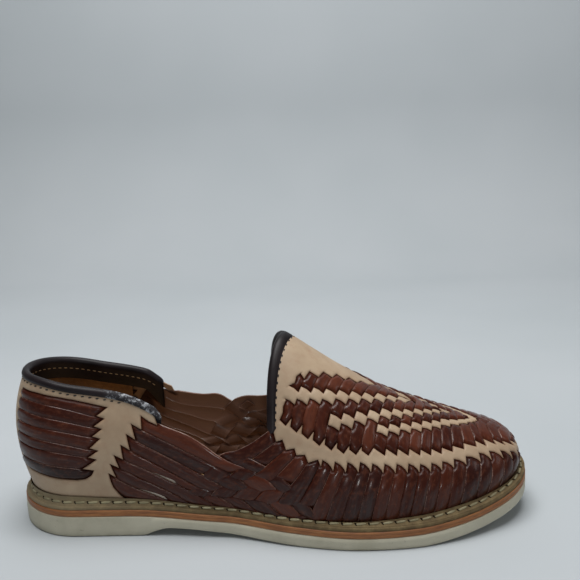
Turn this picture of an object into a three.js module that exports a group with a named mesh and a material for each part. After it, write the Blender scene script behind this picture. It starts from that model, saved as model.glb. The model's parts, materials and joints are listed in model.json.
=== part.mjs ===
import * as THREE from 'three';

// Woven slip-on huarache, right foot. Millimetres, +X to the toe, +Z up, the lateral
// side towards -Y. x = 0 is the heel end of the last's bottom edge (the feather line).

// ---- driving dimensions ----
const FEATHER_LENGTH = 279;   // last bottom, heel end to toe end
const SOLE_OVERHANG = 6;      // sole beyond the last bottom at heel and toe
const HEEL_ARC = 36;          // length of the rounded heel end of the sole
const TOE_ARC = 70;           // length of the rounded toe end of the sole
const TOE_POWER = 2.2;        // fullness of the toe end
const LEATHER_STACK = 6;      // midsole and welt together, with their gaps
const MIDSOLE_THICK = 3.3;
const WELT_THICK = 2.1;
const INSOLE_THICK = 2.6;
const WALL = 2.4;             // woven wall of the upper
const GAP = 0.3;              // between neighbouring pieces
const FOLD_GAP = 0.6;         // between a folded binding and the faceted wall
const BEVEL = 1.0;            // rounded lower edge of the outsole
const THROAT_X = 136;         // feather station of the throat corner
const THROAT_LEAN = 16.7;     // forward lean of the throat edge at the ridge
const FACING_HEEL = 12;       // depth of the dark facing inside the heel collar
const FACING_THROAT = 12;     // depth of the dark facing inside the throat
const LATERAL = -1;
const MEDIAL = 1;

// Sole outline in plan.
const SOLE_PLAN = [
  { x: -6, centre: 0.8, half: 34.7 },
  { x: 34, centre: 0.8, half: 36.3 },
  { x: 75, centre: -0.4, half: 35.0 },
  { x: 112, centre: -3.8, half: 34.4 },
  { x: 150, centre: -5.4, half: 42.4 },
  { x: 185, centre: -2.8, half: 50.4 },
  { x: 210, centre: 0.5, half: 52.3 },
  { x: 240, centre: 4.2, half: 50.5 },
  { x: 262, centre: 6.2, half: 49.6 },
  { x: 285, centre: 6.2, half: 49.8 },
];
// Welt showing beyond the upper.
const WELT_MARGIN = [
  { x: 0, w: 5.0 }, { x: 60, w: 4.0 }, { x: 110, w: 3.0 }, { x: 150, w: 4.0 },
  { x: 190, w: 6.0 }, { x: 230, w: 7.0 }, { x: 279, w: 7.0 },
];
// Underside of the outsole: heel seat, breast, raised shank, tread, toe spring.
const TREAD = [
  { x: -6, z: 0 }, { x: 68, z: 0 }, { x: 75, z: 2.4 }, { x: 83, z: 4.3 }, { x: 95, z: 3.9 },
  { x: 110, z: 2.7 }, { x: 130, z: 1.2 }, { x: 150, z: 0.3 }, { x: 160, z: 0 },
  { x: 215, z: 0 }, { x: 250, z: 3.4 }, { x: 285, z: 10.6 },
];
// Top of the outsole: the heel wedge runs down to a thin forepart and lifts at the toe.
const OUTSOLE_TOP = [
  { x: -6, z: 12 }, { x: 60, z: 11.8 }, { x: 100, z: 9.7 }, { x: 150, z: 7.6 },
  { x: 190, z: 6.8 }, { x: 215, z: 7.2 }, { x: 250, z: 10.5 }, { x: 285, z: 18.2 },
];
// Where the rib that starts at feather station x meets the ridge of the last.
const RIDGE_AT = [
  { x: 0, r: 34 }, { x: 60, r: 66 }, { x: 100, r: 112 }, { x: 120, r: 150 },
  { x: 160, r: 183 }, { x: 200, r: 214 }, { x: 230, r: 236 }, { x: 250, r: 248 },
  { x: 265, r: 254 }, { x: 279, r: 257 },
];
// Ridge of the last: height above the floor and swing to the medial side.
const RIDGE = [
  { r: 34, z: 122, y: 0 }, { r: 66, z: 122, y: 0 }, { r: 100, z: 118, y: 0 },
  { r: 122, z: 112, y: 0.4 }, { r: 140, z: 106.5, y: 0.8 }, { r: 150, z: 102.5, y: 1 },
  { r: 162, z: 94.5, y: 1.5 }, { r: 178, z: 83.5, y: 2.1 }, { r: 205, z: 67.5, y: 3.1 },
  { r: 230, z: 57, y: 4.1 }, { r: 246, z: 51.5, y: 4.6 }, { r: 257, z: 48.2, y: 5 },
  { r: 268, z: 45, y: 5 }, { r: 279, z: 41.5, y: 5 },
];
// Fullness of the rib, and how far the wall swells outwards below height `over`.
const RIB = [
  { x: 0, power: 2.8, swell: 8.0, over: 84 }, { x: 10, power: 2.6, swell: 6.8, over: 80 },
  { x: 34, power: 2.2, swell: 4.0, over: 66 }, { x: 60, power: 2.15, swell: 3.2, over: 58 },
  { x: 90, power: 2.05, swell: 2.5, over: 50 }, { x: 140, power: 1.95, swell: 2.0, over: 40 },
  { x: 180, power: 2.1, swell: 2.5, over: 34 }, { x: 230, power: 2.3, swell: 3.0, over: 32 },
  { x: 265, power: 2.3, swell: 4.0, over: 30 }, { x: 279, power: 2.3, swell: 4.5, over: 30 },
];
// Topline height above the feather line, back of the heel to the throat corner.
const TOPLINE = {
  [LATERAL]: [
    { x: 0, h: 69 }, { x: 10, h: 68.5 }, { x: 30, h: 64.8 }, { x: 55, h: 60.8 }, { x: 62, h: 59 },
    { x: 70, h: 56 }, { x: 76, h: 53 }, { x: 84, h: 46.5 }, { x: 93, h: 43 },
    { x: 103, h: 36.5 }, { x: 110, h: 33.5 }, { x: 119, h: 32.5 }, { x: 127, h: 36.5 },
    { x: 136, h: 44.5 },
  ],
  [MEDIAL]: [
    { x: 0, h: 69 }, { x: 10, h: 66.5 }, { x: 30, h: 62 }, { x: 55, h: 58 }, { x: 62, h: 56.2 },
    { x: 68, h: 52 }, { x: 72, h: 49 }, { x: 76, h: 47.2 }, { x: 84, h: 45 }, { x: 93, h: 43.5 },
    { x: 104, h: 43.5 }, { x: 112, h: 42 }, { x: 118, h: 41 }, { x: 125, h: 42.5 },
    { x: 136, h: 46.5 },
  ],
};

// ---- reading the tables ----
// Monotone cubic through column `col` of `rows`, keyed by column `key`.
function table(rows, key, col) {
  const xs = rows.map((r) => r[key]);
  const ys = rows.map((r) => r[col]);
  const n = xs.length;
  const h = [];
  const d = [];
  for (let i = 0; i < n - 1; i++) {
    h.push(xs[i + 1] - xs[i]);
    d.push((ys[i + 1] - ys[i]) / h[i]);
  }
  const m = new Array(n).fill(0);
  m[0] = d[0];
  m[n - 1] = d[n - 2];
  for (let i = 1; i < n - 1; i++) {
    if (d[i - 1] * d[i] > 0) {
      const a = 2 * h[i] + h[i - 1];
      const b = h[i] + 2 * h[i - 1];
      m[i] = (a + b) / (a / d[i - 1] + b / d[i]);
    }
  }
  return (x) => {
    const v = Math.min(Math.max(x, xs[0]), xs[n - 1]);
    let i = 0;
    while (i < n - 2 && v > xs[i + 1]) i++;
    const t = (v - xs[i]) / h[i];
    const s = 1 - t;
    return ys[i] * (1 + 2 * t) * s * s + m[i] * h[i] * t * s * s
      + ys[i + 1] * t * t * (3 - 2 * t) + m[i + 1] * h[i] * t * t * (t - 1);
  };
}

const soleCentre = table(SOLE_PLAN, 'x', 'centre');
const soleHalf = table(SOLE_PLAN, 'x', 'half');
const weltMargin = table(WELT_MARGIN, 'x', 'w');
const treadZ = table(TREAD, 'x', 'z');
const outsoleTop = table(OUTSOLE_TOP, 'x', 'z');
const ridgeAt = table(RIDGE_AT, 'x', 'r');
const ridgeZ = table(RIDGE, 'r', 'z');
const ridgeY = table(RIDGE, 'r', 'y');
const ribPower = table(RIB, 'x', 'power');
const ribSwell = table(RIB, 'x', 'swell');
const ribOver = table(RIB, 'x', 'over');
const topline = {
  [LATERAL]: table(TOPLINE[LATERAL], 'x', 'h'),
  [MEDIAL]: table(TOPLINE[MEDIAL], 'x', 'h'),
};
const featherZ = (x) => outsoleTop(x) + LEATHER_STACK;

// Rounded heel and toe ends of an outline of the given length.
function ends(x, length, heelArc, toeArc) {
  const a = Math.max(0, 1 - x / heelArc);
  const b = Math.max(0, 1 - (length - x) / toeArc);
  const heel = Math.sqrt(Math.max(0, 1 - a * a));
  return heel * Math.pow(Math.max(0, 1 - Math.pow(b, TOE_POWER)), 1 / TOE_POWER);
}

// Sole outline drawn in by `inset`, as a y for each side at station x.
function soleY(side, x, inset) {
  const back = -SOLE_OVERHANG + inset;
  const length = FEATHER_LENGTH + 2 * SOLE_OVERHANG - 2 * inset;
  const e = ends(x - back, length, HEEL_ARC - inset, TOE_ARC - inset);
  return soleCentre(x) + side * (soleHalf(x) - inset) * e;
}

// Feather outline drawn in by `inset`.
function featherY(side, x, inset) {
  const length = FEATHER_LENGTH - 2 * inset;
  const e = ends(x - inset, length, HEEL_ARC - 5 - inset, TOE_ARC - 7 - inset);
  return soleCentre(x) + side * (soleHalf(x) - weltMargin(x) - inset) * e;
}

// ---- the last ----
const RIB_STEPS = 90;
const ribCache = new Map();

// One rib of the last, from the feather line up to the ridge, with running length.
function rib(side, x) {
  const key = `${side}:${x.toFixed(4)}`;
  if (ribCache.has(key)) return ribCache.get(key);
  const foot = new THREE.Vector2(x, featherY(side, x, 0));
  const r = ridgeAt(x);
  const top = new THREE.Vector2(r, ridgeY(r));
  const out = foot.clone().sub(top).normalize();
  const base = featherZ(x);
  const p = ribPower(x);
  const swell = ribSwell(x);
  const over = ribOver(x);
  const points = [];
  const length = [0];
  for (let i = 0; i <= RIB_STEPS; i++) {
    const g = Math.pow(i / RIB_STEPS, 2.4);
    const plan = foot.clone().lerp(top, g);
    const rise = ridgeZ(plan.x) - base;
    const z = rise * Math.pow(1 - Math.pow(1 - g, p), 1 / p);
    plan.addScaledVector(out, swell * Math.sin(Math.PI * Math.min(1, z / over)));
    points.push(new THREE.Vector3(plan.x, plan.y, z + base));
    if (i > 0) length.push(length[i - 1] + points[i].distanceTo(points[i - 1]));
  }
  const made = { points, length };
  ribCache.set(key, made);
  return made;
}

// Point of the last on side, rib x, at fraction v of the rib's length.
function onLast(side, x, v) {
  const { points, length } = rib(side, x);
  const want = Math.min(Math.max(v, 0), 1) * length[RIB_STEPS];
  let i = 0;
  while (i < RIB_STEPS - 1 && length[i + 1] < want) i++;
  const t = (want - length[i]) / (length[i + 1] - length[i]);
  return points[i].clone().lerp(points[i + 1], t);
}

// Fraction of rib x at which it stands `h` above the feather line.
function fractionAtHeight(side, x, h) {
  const { points, length } = rib(side, x);
  const want = h + featherZ(x);
  let i = 0;
  while (i < RIB_STEPS - 1 && points[i + 1].z < want) i++;
  const t = (want - points[i].z) / (points[i + 1].z - points[i].z);
  return (length[i] + t * (length[i + 1] - length[i])) / length[RIB_STEPS];
}

const throatStart = {
  [LATERAL]: fractionAtHeight(LATERAL, THROAT_X, topline[LATERAL](THROAT_X)),
  [MEDIAL]: fractionAtHeight(MEDIAL, THROAT_X, topline[MEDIAL](THROAT_X)),
};

// Above the throat corner the columns of the vamp lean back towards the ankle;
// the lean dies out at the toe.
function leaned(x, w) {
  const fade = Math.pow(1 - (x - THROAT_X) / (FEATHER_LENGTH - THROAT_X), 1.3);
  const ease = Math.min(2.2, 1.2 + (x - THROAT_X) / 64);
  return x - THROAT_LEAN * fade * Math.pow(w, ease);
}

function vampPoint(side, x, w) {
  return onLast(side, leaned(x, w), throatStart[side] + (1 - throatStart[side]) * w);
}

// ---- meshes ----
class Builder {
  constructor() {
    this.verts = [];
    this.faces = [];
  }

  add(p) {
    this.verts.push(p.clone());
    return this.verts.length - 1;
  }

  tri(a, b, c) {
    if (a !== b && b !== c && a !== c) this.faces.push([a, b, c]);
  }

  quad(a, b, c, d) {
    this.tri(a, b, c);
    this.tri(a, c, d);
  }

  // Signed volume, to make every solid face outwards.
  volume() {
    let v = 0;
    for (const [a, b, c] of this.faces) {
      const cross = new THREE.Vector3().crossVectors(this.verts[b], this.verts[c]);
      v += this.verts[a].dot(cross) / 6;
    }
    return v;
  }

  mesh(name, colour, roughness) {
    if (this.volume() < 0) this.faces = this.faces.map(([a, b, c]) => [a, c, b]);
    const geometry = new THREE.BufferGeometry();
    const flat = this.verts.flatMap((p) => [p.x, p.y, p.z]);
    geometry.setAttribute('position', new THREE.Float32BufferAttribute(flat, 3));
    geometry.setIndex(this.faces.flat());
    geometry.computeVertexNormals();
    const material = new THREE.MeshStandardMaterial({ color: colour, roughness, metalness: 0 });
    const mesh = new THREE.Mesh(geometry, material);
    mesh.name = name;
    return mesh;
  }
}

// Stations bunched towards both ends, so the rounded ends stay smooth.
function stations(from, to, count) {
  const xs = [];
  for (let i = 0; i <= count; i++) {
    const t = i / count;
    xs.push(from + (to - from) * (t - (0.93 * Math.sin(2 * Math.PI * t)) / (2 * Math.PI)));
  }
  return xs;
}

// A plate of the bottom: rings of outline stacked in z and closed by ladders of
// quads between the lateral and medial points of each station.
// Each ring is { back, front, y(side, x), z(x) }.
function plate(name, rings, count, colour, roughness) {
  const b = new Builder();
  const loops = rings.map((ring) => {
    const xs = stations(ring.back, ring.front, count);
    const at = (side, i) => {
      const x = xs[i];
      const y = i === 0 || i === count ? soleCentre(x) : ring.y(side, x);
      return b.add(new THREE.Vector3(x, y, ring.z(x)));
    };
    const lat = xs.map((_, i) => at(LATERAL, i));
    const med = xs.map((_, i) => (i === 0 || i === count ? lat[i] : at(MEDIAL, i)));
    return { lat, med };
  });
  for (let k = 0; k + 1 < loops.length; k++) {
    for (let i = 0; i < count; i++) {
      const lo = loops[k];
      const hi = loops[k + 1];
      b.quad(lo.lat[i], lo.lat[i + 1], hi.lat[i + 1], hi.lat[i]);
      b.quad(lo.med[i + 1], lo.med[i], hi.med[i], hi.med[i + 1]);
    }
  }
  const bottom = loops[0];
  const top = loops[loops.length - 1];
  for (let i = 0; i < count; i++) {
    b.quad(bottom.lat[i], bottom.med[i], bottom.med[i + 1], bottom.lat[i + 1]);
    b.quad(top.lat[i], top.lat[i + 1], top.med[i + 1], top.med[i]);
  }
  return b.mesh(name, colour, roughness);
}

function soleRing(inset, z) {
  return {
    back: -SOLE_OVERHANG + inset,
    front: FEATHER_LENGTH + SOLE_OVERHANG - inset,
    y: (side, x) => soleY(side, x, inset),
    z,
  };
}

// Off-white rubber outsole with its heel wedge and breast.
function outsole() {
  return plate('outsole', [
    soleRing(BEVEL, (x) => treadZ(x)),
    soleRing(0.2, (x) => treadZ(x) + BEVEL * 1.2),
    soleRing(0, (x) => outsoleTop(x)),
  ], 84, 0xe4e3d8, 0.6);
}

// Orange-brown sole-leather ply.
function midsole() {
  return plate('midsole', [
    soleRing(0.4, (x) => outsoleTop(x) + GAP),
    soleRing(0.4, (x) => outsoleTop(x) + GAP + MIDSOLE_THICK),
  ], 72, 0xb9773e, 0.6);
}

// Natural-leather runner the upper is sewn to.
function welt() {
  const low = GAP * 2 + MIDSOLE_THICK;
  return plate('welt', [
    soleRing(0.7, (x) => outsoleTop(x) + low),
    soleRing(0.9, (x) => outsoleTop(x) + LEATHER_STACK),
  ], 72, 0xa98d66, 0.75);
}

// Insole lying inside the wall.
function insole() {
  const inset = WALL + 0.7;
  const ring = (z) => ({
    back: inset,
    front: FEATHER_LENGTH - inset,
    y: (side, x) => featherY(side, x, inset),
    z,
  });
  return plate('insole', [
    ring((x) => featherZ(x) + GAP),
    ring((x) => featherZ(x) + GAP + INSOLE_THICK),
  ], 60, 0xb89468, 0.7);
}

// Woven upper: one wall of even thickness, open at the collar and underneath.
function upper() {
  const b = new Builder();
  const LOWER = 7;
  const RISE = 10;
  const heelCount = 26;
  const vampCount = 27;
  // Feather stations from the back of the heel to the throat corner, then to the toe,
  // even along the outline.
  const walk = [];
  let run = 0;
  let before = null;
  for (let i = 0; i <= 3000; i++) {
    const t = i / 3000;
    const x = FEATHER_LENGTH * (t - (0.96 * Math.sin(2 * Math.PI * t)) / (2 * Math.PI));
    const here = new THREE.Vector2(x, featherY(LATERAL, x, 0));
    if (before) run += here.distanceTo(before);
    walk.push({ x, run });
    before = here;
  }
  const total = run;
  const cornerRun = walk.find((w) => w.x >= THROAT_X).run;
  const xAt = (want) => {
    let i = 1;
    while (i < walk.length - 1 && walk[i].run < want) i++;
    const t = (want - walk[i - 1].run) / (walk[i].run - walk[i - 1].run);
    return walk[i - 1].x + t * (walk[i].x - walk[i - 1].x);
  };
  const columns = [];
  for (let i = 0; i <= heelCount; i++) {
    columns.push(i === heelCount ? THROAT_X : xAt((cornerRun * i) / heelCount));
  }
  for (let i = 1; i <= vampCount; i++) {
    const at = cornerRun + ((total - cornerRun) * i) / vampCount;
    columns.push(i === vampCount ? FEATHER_LENGTH : xAt(at));
  }
  const last = columns.length - 1;
  const outer = { [LATERAL]: [], [MEDIAL]: [] };
  for (const side of [LATERAL, MEDIAL]) {
    columns.forEach((x, c) => {
      const shared = side === MEDIAL && (c === 0 || c === last);
      const column = [];
      const cut = x < THROAT_X ? fractionAtHeight(side, x, topline[side](x)) : throatStart[side];
      const head = c === 0 || c === last
        ? fractionAtHeight(LATERAL, x, topline[LATERAL](Math.min(x, THROAT_X))) : cut;
      const v1 = c === last ? throatStart[LATERAL] : head;
      for (let j = 0; j <= LOWER; j++) {
        if (shared) {
          column.push(outer[LATERAL][c][j]);
          continue;
        }
        const p = onLast(side, x, (v1 * j) / LOWER);
        p.z += GAP * (1 - j / LOWER);
        column.push(b.add(p));
      }
      if (c >= heelCount) {
        for (let k = 1; k <= RISE; k++) {
          const w = k / RISE;
          if (shared || (side === MEDIAL && k === RISE)) {
            column.push(outer[LATERAL][c][LOWER + k]);
            continue;
          }
          const p = c === last
            ? onLast(LATERAL, x, v1 + (1 - v1) * w) : vampPoint(side, x, w);
          column.push(b.add(p));
        }
      }
      outer[side].push(column);
    });
  }
  const count = b.verts.length;
  const faces = [];
  const strip = (side, c, j) => {
    const g = outer[side];
    const q = [g[c][j], g[c + 1][j], g[c + 1][j + 1], g[c][j + 1]];
    if (side === MEDIAL) q.reverse();
    faces.push([q[0], q[1], q[2]], [q[0], q[2], q[3]]);
  };
  for (const side of [LATERAL, MEDIAL]) {
    for (let c = 0; c < last; c++) {
      const rows = c >= heelCount ? LOWER + RISE : LOWER;
      for (let j = 0; j < rows; j++) strip(side, c, j);
    }
  }
  const solid = faces.filter(([a, c, d]) => a !== c && c !== d && a !== d);
  // Vertex normals of the outside, then the inside offset by the wall.
  const normals = b.verts.map(() => new THREE.Vector3());
  for (const [i, j, k] of solid) {
    const e1 = b.verts[j].clone().sub(b.verts[i]);
    const e2 = b.verts[k].clone().sub(b.verts[i]);
    const n = e1.cross(e2);
    for (const v of [i, j, k]) normals[v].add(n);
  }
  const foot = new Set([...outer[LATERAL], ...outer[MEDIAL]].map((column) => column[0]));
  for (let i = 0; i < count; i++) {
    const n = normals[i];
    if (foot.has(i)) n.z = 0;
    n.normalize();
    b.add(b.verts[i].clone().addScaledVector(n, -WALL));
  }
  for (const [i, j, k] of solid) {
    b.tri(i, j, k);
    b.tri(i + count, k + count, j + count);
  }
  // Rims along every open edge of the outside.
  const edges = new Map();
  for (const f of solid) {
    for (let e = 0; e < 3; e++) {
      const from = f[e];
      const to = f[(e + 1) % 3];
      if (edges.has(`${to}:${from}`)) edges.delete(`${to}:${from}`);
      else edges.set(`${from}:${to}`, [from, to]);
    }
  }
  for (const [from, to] of edges.values()) b.quad(to, from, from + count, to + count);
  return b.mesh('upper', 0x6b3a2a, 0.5);
}

// Frame on the wall at an edge point: the outward normal, from nearby points.
function normalAt(side, x, v) {
  const dx = 0.4;
  const dv = 0.004;
  const a = onLast(side, Math.min(x + dx, FEATHER_LENGTH), v);
  const c = onLast(side, Math.max(x - dx, 0.02), v);
  const e = onLast(side, x, Math.min(v + dv, 1)).sub(onLast(side, x, Math.max(v - dv, 0)));
  return a.sub(c).cross(e).multiplyScalar(-side).normalize();
}

// Folded binding: a channel over the edge of the wall. The outside of the fold and the
// inside of it are named by depth below the edge (d) and distance off the wall (off).
function fold(outerDepth, innerDepth) {
  const back = -WALL;
  return {
    skin: [
      { d: outerDepth, off: 1.2 }, { d: 1.8, off: 1.5 }, { d: 0.1, off: 1.4 },
      { d: -1.2, off: 0.4 }, { d: -1.5, off: back / 2 }, { d: -1.2, off: back - 0.4 },
      { d: 0.1, off: back - 1.4 }, { d: innerDepth / 2, off: back - 1.3 },
      { d: innerDepth, off: back - 1.1 },
    ],
    lining: [
      { d: outerDepth, off: FOLD_GAP }, { d: 1.8, off: FOLD_GAP }, { d: 0.1, off: FOLD_GAP },
      { d: -0.6, off: FOLD_GAP }, { d: -0.6, off: back / 2 }, { d: -0.6, off: back - FOLD_GAP },
      { d: 0.1, off: back - FOLD_GAP }, { d: innerDepth / 2, off: back - FOLD_GAP },
      { d: innerDepth, off: back - FOLD_GAP },
    ],
  };
}

// Sweep the fold through `frames`; each frame places (d, off) in space.
function binding(name, frames, colour) {
  const b = new Builder();
  const rings = frames.map((frame) => {
    const { skin, lining } = fold(frame.outerDepth, frame.innerDepth);
    const loop = [...skin, ...lining.reverse()];
    return loop.map((s) => b.add(frame.place(s.d, s.off)));
  });
  const n = rings[0].length;
  for (let i = 0; i + 1 < rings.length; i++) {
    for (let j = 0; j < n; j++) {
      const m = (j + 1) % n;
      b.quad(rings[i][j], rings[i][m], rings[i + 1][m], rings[i + 1][j]);
    }
  }
  const half = n / 2;
  for (const [ring, turn] of [[rings[0], 1], [rings[rings.length - 1], -1]]) {
    for (let j = 0; j + 1 < half; j++) {
      const q = [ring[j], ring[n - 1 - j], ring[n - 2 - j], ring[j + 1]];
      if (turn < 0) q.reverse();
      b.quad(...q);
    }
  }
  return b.mesh(name, colour, 0.4);
}

// Dark rolled binding round the heel collar; it stops sooner on the medial side.
const COLLAR_END = { [LATERAL]: 80.5, [MEDIAL]: 71.5 };
function heelBinding() {
  const frames = [];
  const marks = [0.35, 1.4, 3.2, 5.6, 8.6, 12.5, 17, 22.5, 29, 36, 43, 50, 56, 62, 67.5, 72.5, 77, 80.5];
  const at = (side, x) => {
    const h = topline[side](x);
    const v = fractionAtHeight(side, x, h);
    const edge = onLast(side, x, v);
    const length = rib(side, x).length[RIB_STEPS];
    const n = normalAt(side, x, v);
    const up = onLast(side, x, v + 0.01).sub(onLast(side, x, v - 0.01)).normalize();
    const tail = Math.max(0, 1 - (COLLAR_END[side] - x) / 10.5);
    return {
      outerDepth: 3.6,
      innerDepth: FACING_HEEL + 7 * tail,
      place: (d, off) => {
        if (d <= 0) return edge.clone().addScaledVector(up, -d).addScaledVector(n, off);
        const w = v - d / length;
        return onLast(side, x, w).addScaledVector(normalAt(side, x, w), off);
      },
    };
  };
  for (const x of [...marks].reverse()) frames.push(at(LATERAL, x));
  const shorter = marks.filter((x) => x < COLLAR_END[MEDIAL]);
  for (const x of [...shorter, COLLAR_END[MEDIAL]]) frames.push(at(MEDIAL, x));
  return binding('heel_binding', frames, 0x2b1c1a);
}

// Dark rolled binding round the throat, corner to corner over the ridge.
function throatBinding() {
  const frames = [];
  const STEPS = 16;
  const START = 0.03;
  const at = (side, w) => {
    const here = (x, u) => vampPoint(side, x, Math.min(Math.max(u, 0), 1));
    const edge = here(THROAT_X, w);
    const reach = here(THROAT_X + 6, w).distanceTo(edge) / 6;
    const normal = (x, u) => {
      const a = here(x + 0.5, u).sub(here(x, u));
      const c = here(x, Math.min(u + 0.02, 1)).sub(here(x, Math.max(u - 0.02, 0)));
      const n = a.cross(c).multiplyScalar(-side).normalize();
      if (u > 0.985) n.y = 0;
      return n.normalize();
    };
    const n = normal(THROAT_X, w);
    const back = here(THROAT_X, w).sub(here(THROAT_X + 1, w)).normalize();
    return {
      outerDepth: 2.4,
      innerDepth: FACING_THROAT,
      place: (d, off) => {
        if (d <= 0) return edge.clone().addScaledVector(back, -d).addScaledVector(n, off);
        const x = THROAT_X + d / reach;
        return here(x, w).addScaledVector(normal(x, w), off);
      },
    };
  };
  for (let i = 0; i <= STEPS; i++) frames.push(at(LATERAL, START + ((1 - START) * i) / STEPS));
  for (let i = STEPS - 1; i >= 0; i--) frames.push(at(MEDIAL, START + ((1 - START) * i) / STEPS));
  return binding('throat_binding', frames, 0x2b1c1a);
}

// ---- assembly, bottom centre at the origin ----
const shoe = new THREE.Group();
shoe.name = 'huarache';
shoe.add(outsole(), midsole(), welt(), insole(), upper(), heelBinding(), throatBinding());
const bounds = new THREE.Box3().setFromObject(shoe);
const shift = bounds.getCenter(new THREE.Vector3());
for (const piece of shoe.children) piece.geometry.translate(-shift.x, -shift.y, -bounds.min.z);

export default shoe;
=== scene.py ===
import itertools
import json
import math

import bpy
import numpy as np
from mathutils import Matrix, Vector
from mathutils.geometry import delaunay_2d_cdt

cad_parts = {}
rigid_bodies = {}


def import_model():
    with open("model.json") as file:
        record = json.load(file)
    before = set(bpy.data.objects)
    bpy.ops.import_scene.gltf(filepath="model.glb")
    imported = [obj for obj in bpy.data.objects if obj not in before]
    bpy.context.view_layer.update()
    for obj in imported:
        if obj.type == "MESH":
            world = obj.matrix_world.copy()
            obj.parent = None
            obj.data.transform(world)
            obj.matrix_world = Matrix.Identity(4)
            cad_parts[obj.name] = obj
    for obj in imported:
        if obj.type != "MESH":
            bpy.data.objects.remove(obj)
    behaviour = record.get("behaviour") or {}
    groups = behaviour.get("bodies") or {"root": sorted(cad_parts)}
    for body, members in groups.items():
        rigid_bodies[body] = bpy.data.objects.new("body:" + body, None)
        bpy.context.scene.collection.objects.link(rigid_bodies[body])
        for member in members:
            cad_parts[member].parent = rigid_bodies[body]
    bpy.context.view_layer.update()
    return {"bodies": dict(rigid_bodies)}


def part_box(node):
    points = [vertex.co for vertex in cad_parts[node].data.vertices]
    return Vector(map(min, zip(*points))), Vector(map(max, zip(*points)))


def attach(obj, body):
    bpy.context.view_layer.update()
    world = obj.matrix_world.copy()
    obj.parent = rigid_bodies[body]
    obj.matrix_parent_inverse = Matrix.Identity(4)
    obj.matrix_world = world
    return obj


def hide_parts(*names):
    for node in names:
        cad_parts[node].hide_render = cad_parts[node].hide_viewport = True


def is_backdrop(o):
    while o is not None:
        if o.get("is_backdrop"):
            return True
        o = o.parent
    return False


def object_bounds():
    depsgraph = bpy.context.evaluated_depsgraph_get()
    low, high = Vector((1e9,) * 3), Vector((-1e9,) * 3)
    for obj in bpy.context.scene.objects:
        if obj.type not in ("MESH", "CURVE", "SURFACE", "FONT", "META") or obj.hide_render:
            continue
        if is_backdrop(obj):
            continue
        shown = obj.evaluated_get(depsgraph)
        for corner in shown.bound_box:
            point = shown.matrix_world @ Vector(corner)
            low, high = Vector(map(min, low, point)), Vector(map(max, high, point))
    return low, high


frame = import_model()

LATERAL, MEDIAL = -1, 1
ROOT = next(iter(frame["bodies"]))

# ---------------------------------------------------------------------------
# The last: the wooden foot that the strips are woven round and the sole is cut to.
# Its bottom edge is the feather line. Every strip and plate is laid out on a chart of it:
# u runs along the feather line from the back of the heel to the toe, s climbs the wall.
# ---------------------------------------------------------------------------
FEATHER_LENGTH, SOLE_OVERHANG = 279.0, 6.0
HEEL_ARC, TOE_ARC, TOE_POWER = 36.0, 70.0, 2.2
LEATHER_STACK = 6.0
THROAT_X, THROAT_LEAN = 136.0, 16.7
SOLE_PLAN = dict(
    x=[-6, 34, 75, 112, 150, 185, 210, 240, 262, 285],
    centre=[0.8, 0.8, -0.4, -3.8, -5.4, -2.8, 0.5, 4.2, 6.2, 6.2],
    half=[34.7, 36.3, 35.0, 34.4, 42.4, 50.4, 52.3, 50.5, 49.6, 49.8])
WELT_MARGIN = dict(x=[0, 60, 110, 150, 190, 230, 279], w=[5.0, 4.0, 3.0, 4.0, 6.0, 7.0, 7.0])
TREAD = dict(x=[-6, 68, 75, 83, 95, 110, 130, 150, 160, 215, 250, 285],
             z=[0, 0, 2.4, 4.3, 3.9, 2.7, 1.2, 0.3, 0, 0, 3.4, 10.6])
OUTSOLE_TOP = dict(x=[-6, 60, 100, 150, 190, 215, 250, 285],
                   z=[12, 11.8, 9.7, 7.6, 6.8, 7.2, 10.5, 18.2])
RIDGE_AT = dict(x=[0, 60, 100, 120, 160, 200, 230, 250, 265, 279],
                r=[34, 66, 112, 150, 183, 214, 236, 248, 254, 257])
RIDGE = dict(r=[34, 66, 100, 122, 140, 150, 162, 178, 205, 230, 246, 257, 268, 279],
             z=[122, 122, 118, 112, 106.5, 102.5, 94.5, 83.5, 67.5, 57, 51.5, 48.2, 45, 41.5],
             y=[0, 0, 0, 0.4, 0.8, 1, 1.5, 2.1, 3.1, 4.1, 4.6, 5, 5, 5])
RIB = dict(x=[0, 10, 34, 60, 90, 140, 180, 230, 265, 279],
           power=[2.8, 2.6, 2.2, 2.15, 2.05, 1.95, 2.1, 2.3, 2.3, 2.3],
           swell=[8.0, 6.8, 4.0, 3.2, 2.5, 2.0, 2.5, 3.0, 4.0, 4.5],
           over=[84, 80, 66, 58, 50, 40, 34, 32, 30, 30])
TOPLINE = {
    LATERAL: dict(x=[0, 10, 30, 55, 62, 70, 76, 84, 93, 103, 110, 119, 127, 136],
                  h=[69, 68.5, 64.8, 60.8, 59, 56, 53, 46.5, 43, 36.5, 33.5, 32.5, 36.5, 44.5]),
    MEDIAL: dict(x=[0, 10, 30, 55, 62, 68, 72, 76, 84, 93, 104, 112, 118, 125, 136],
                 h=[69, 66.5, 62, 58, 56.2, 52, 49, 47.2, 45, 43.5, 43.5, 42, 41, 42.5, 46.5])}


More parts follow.
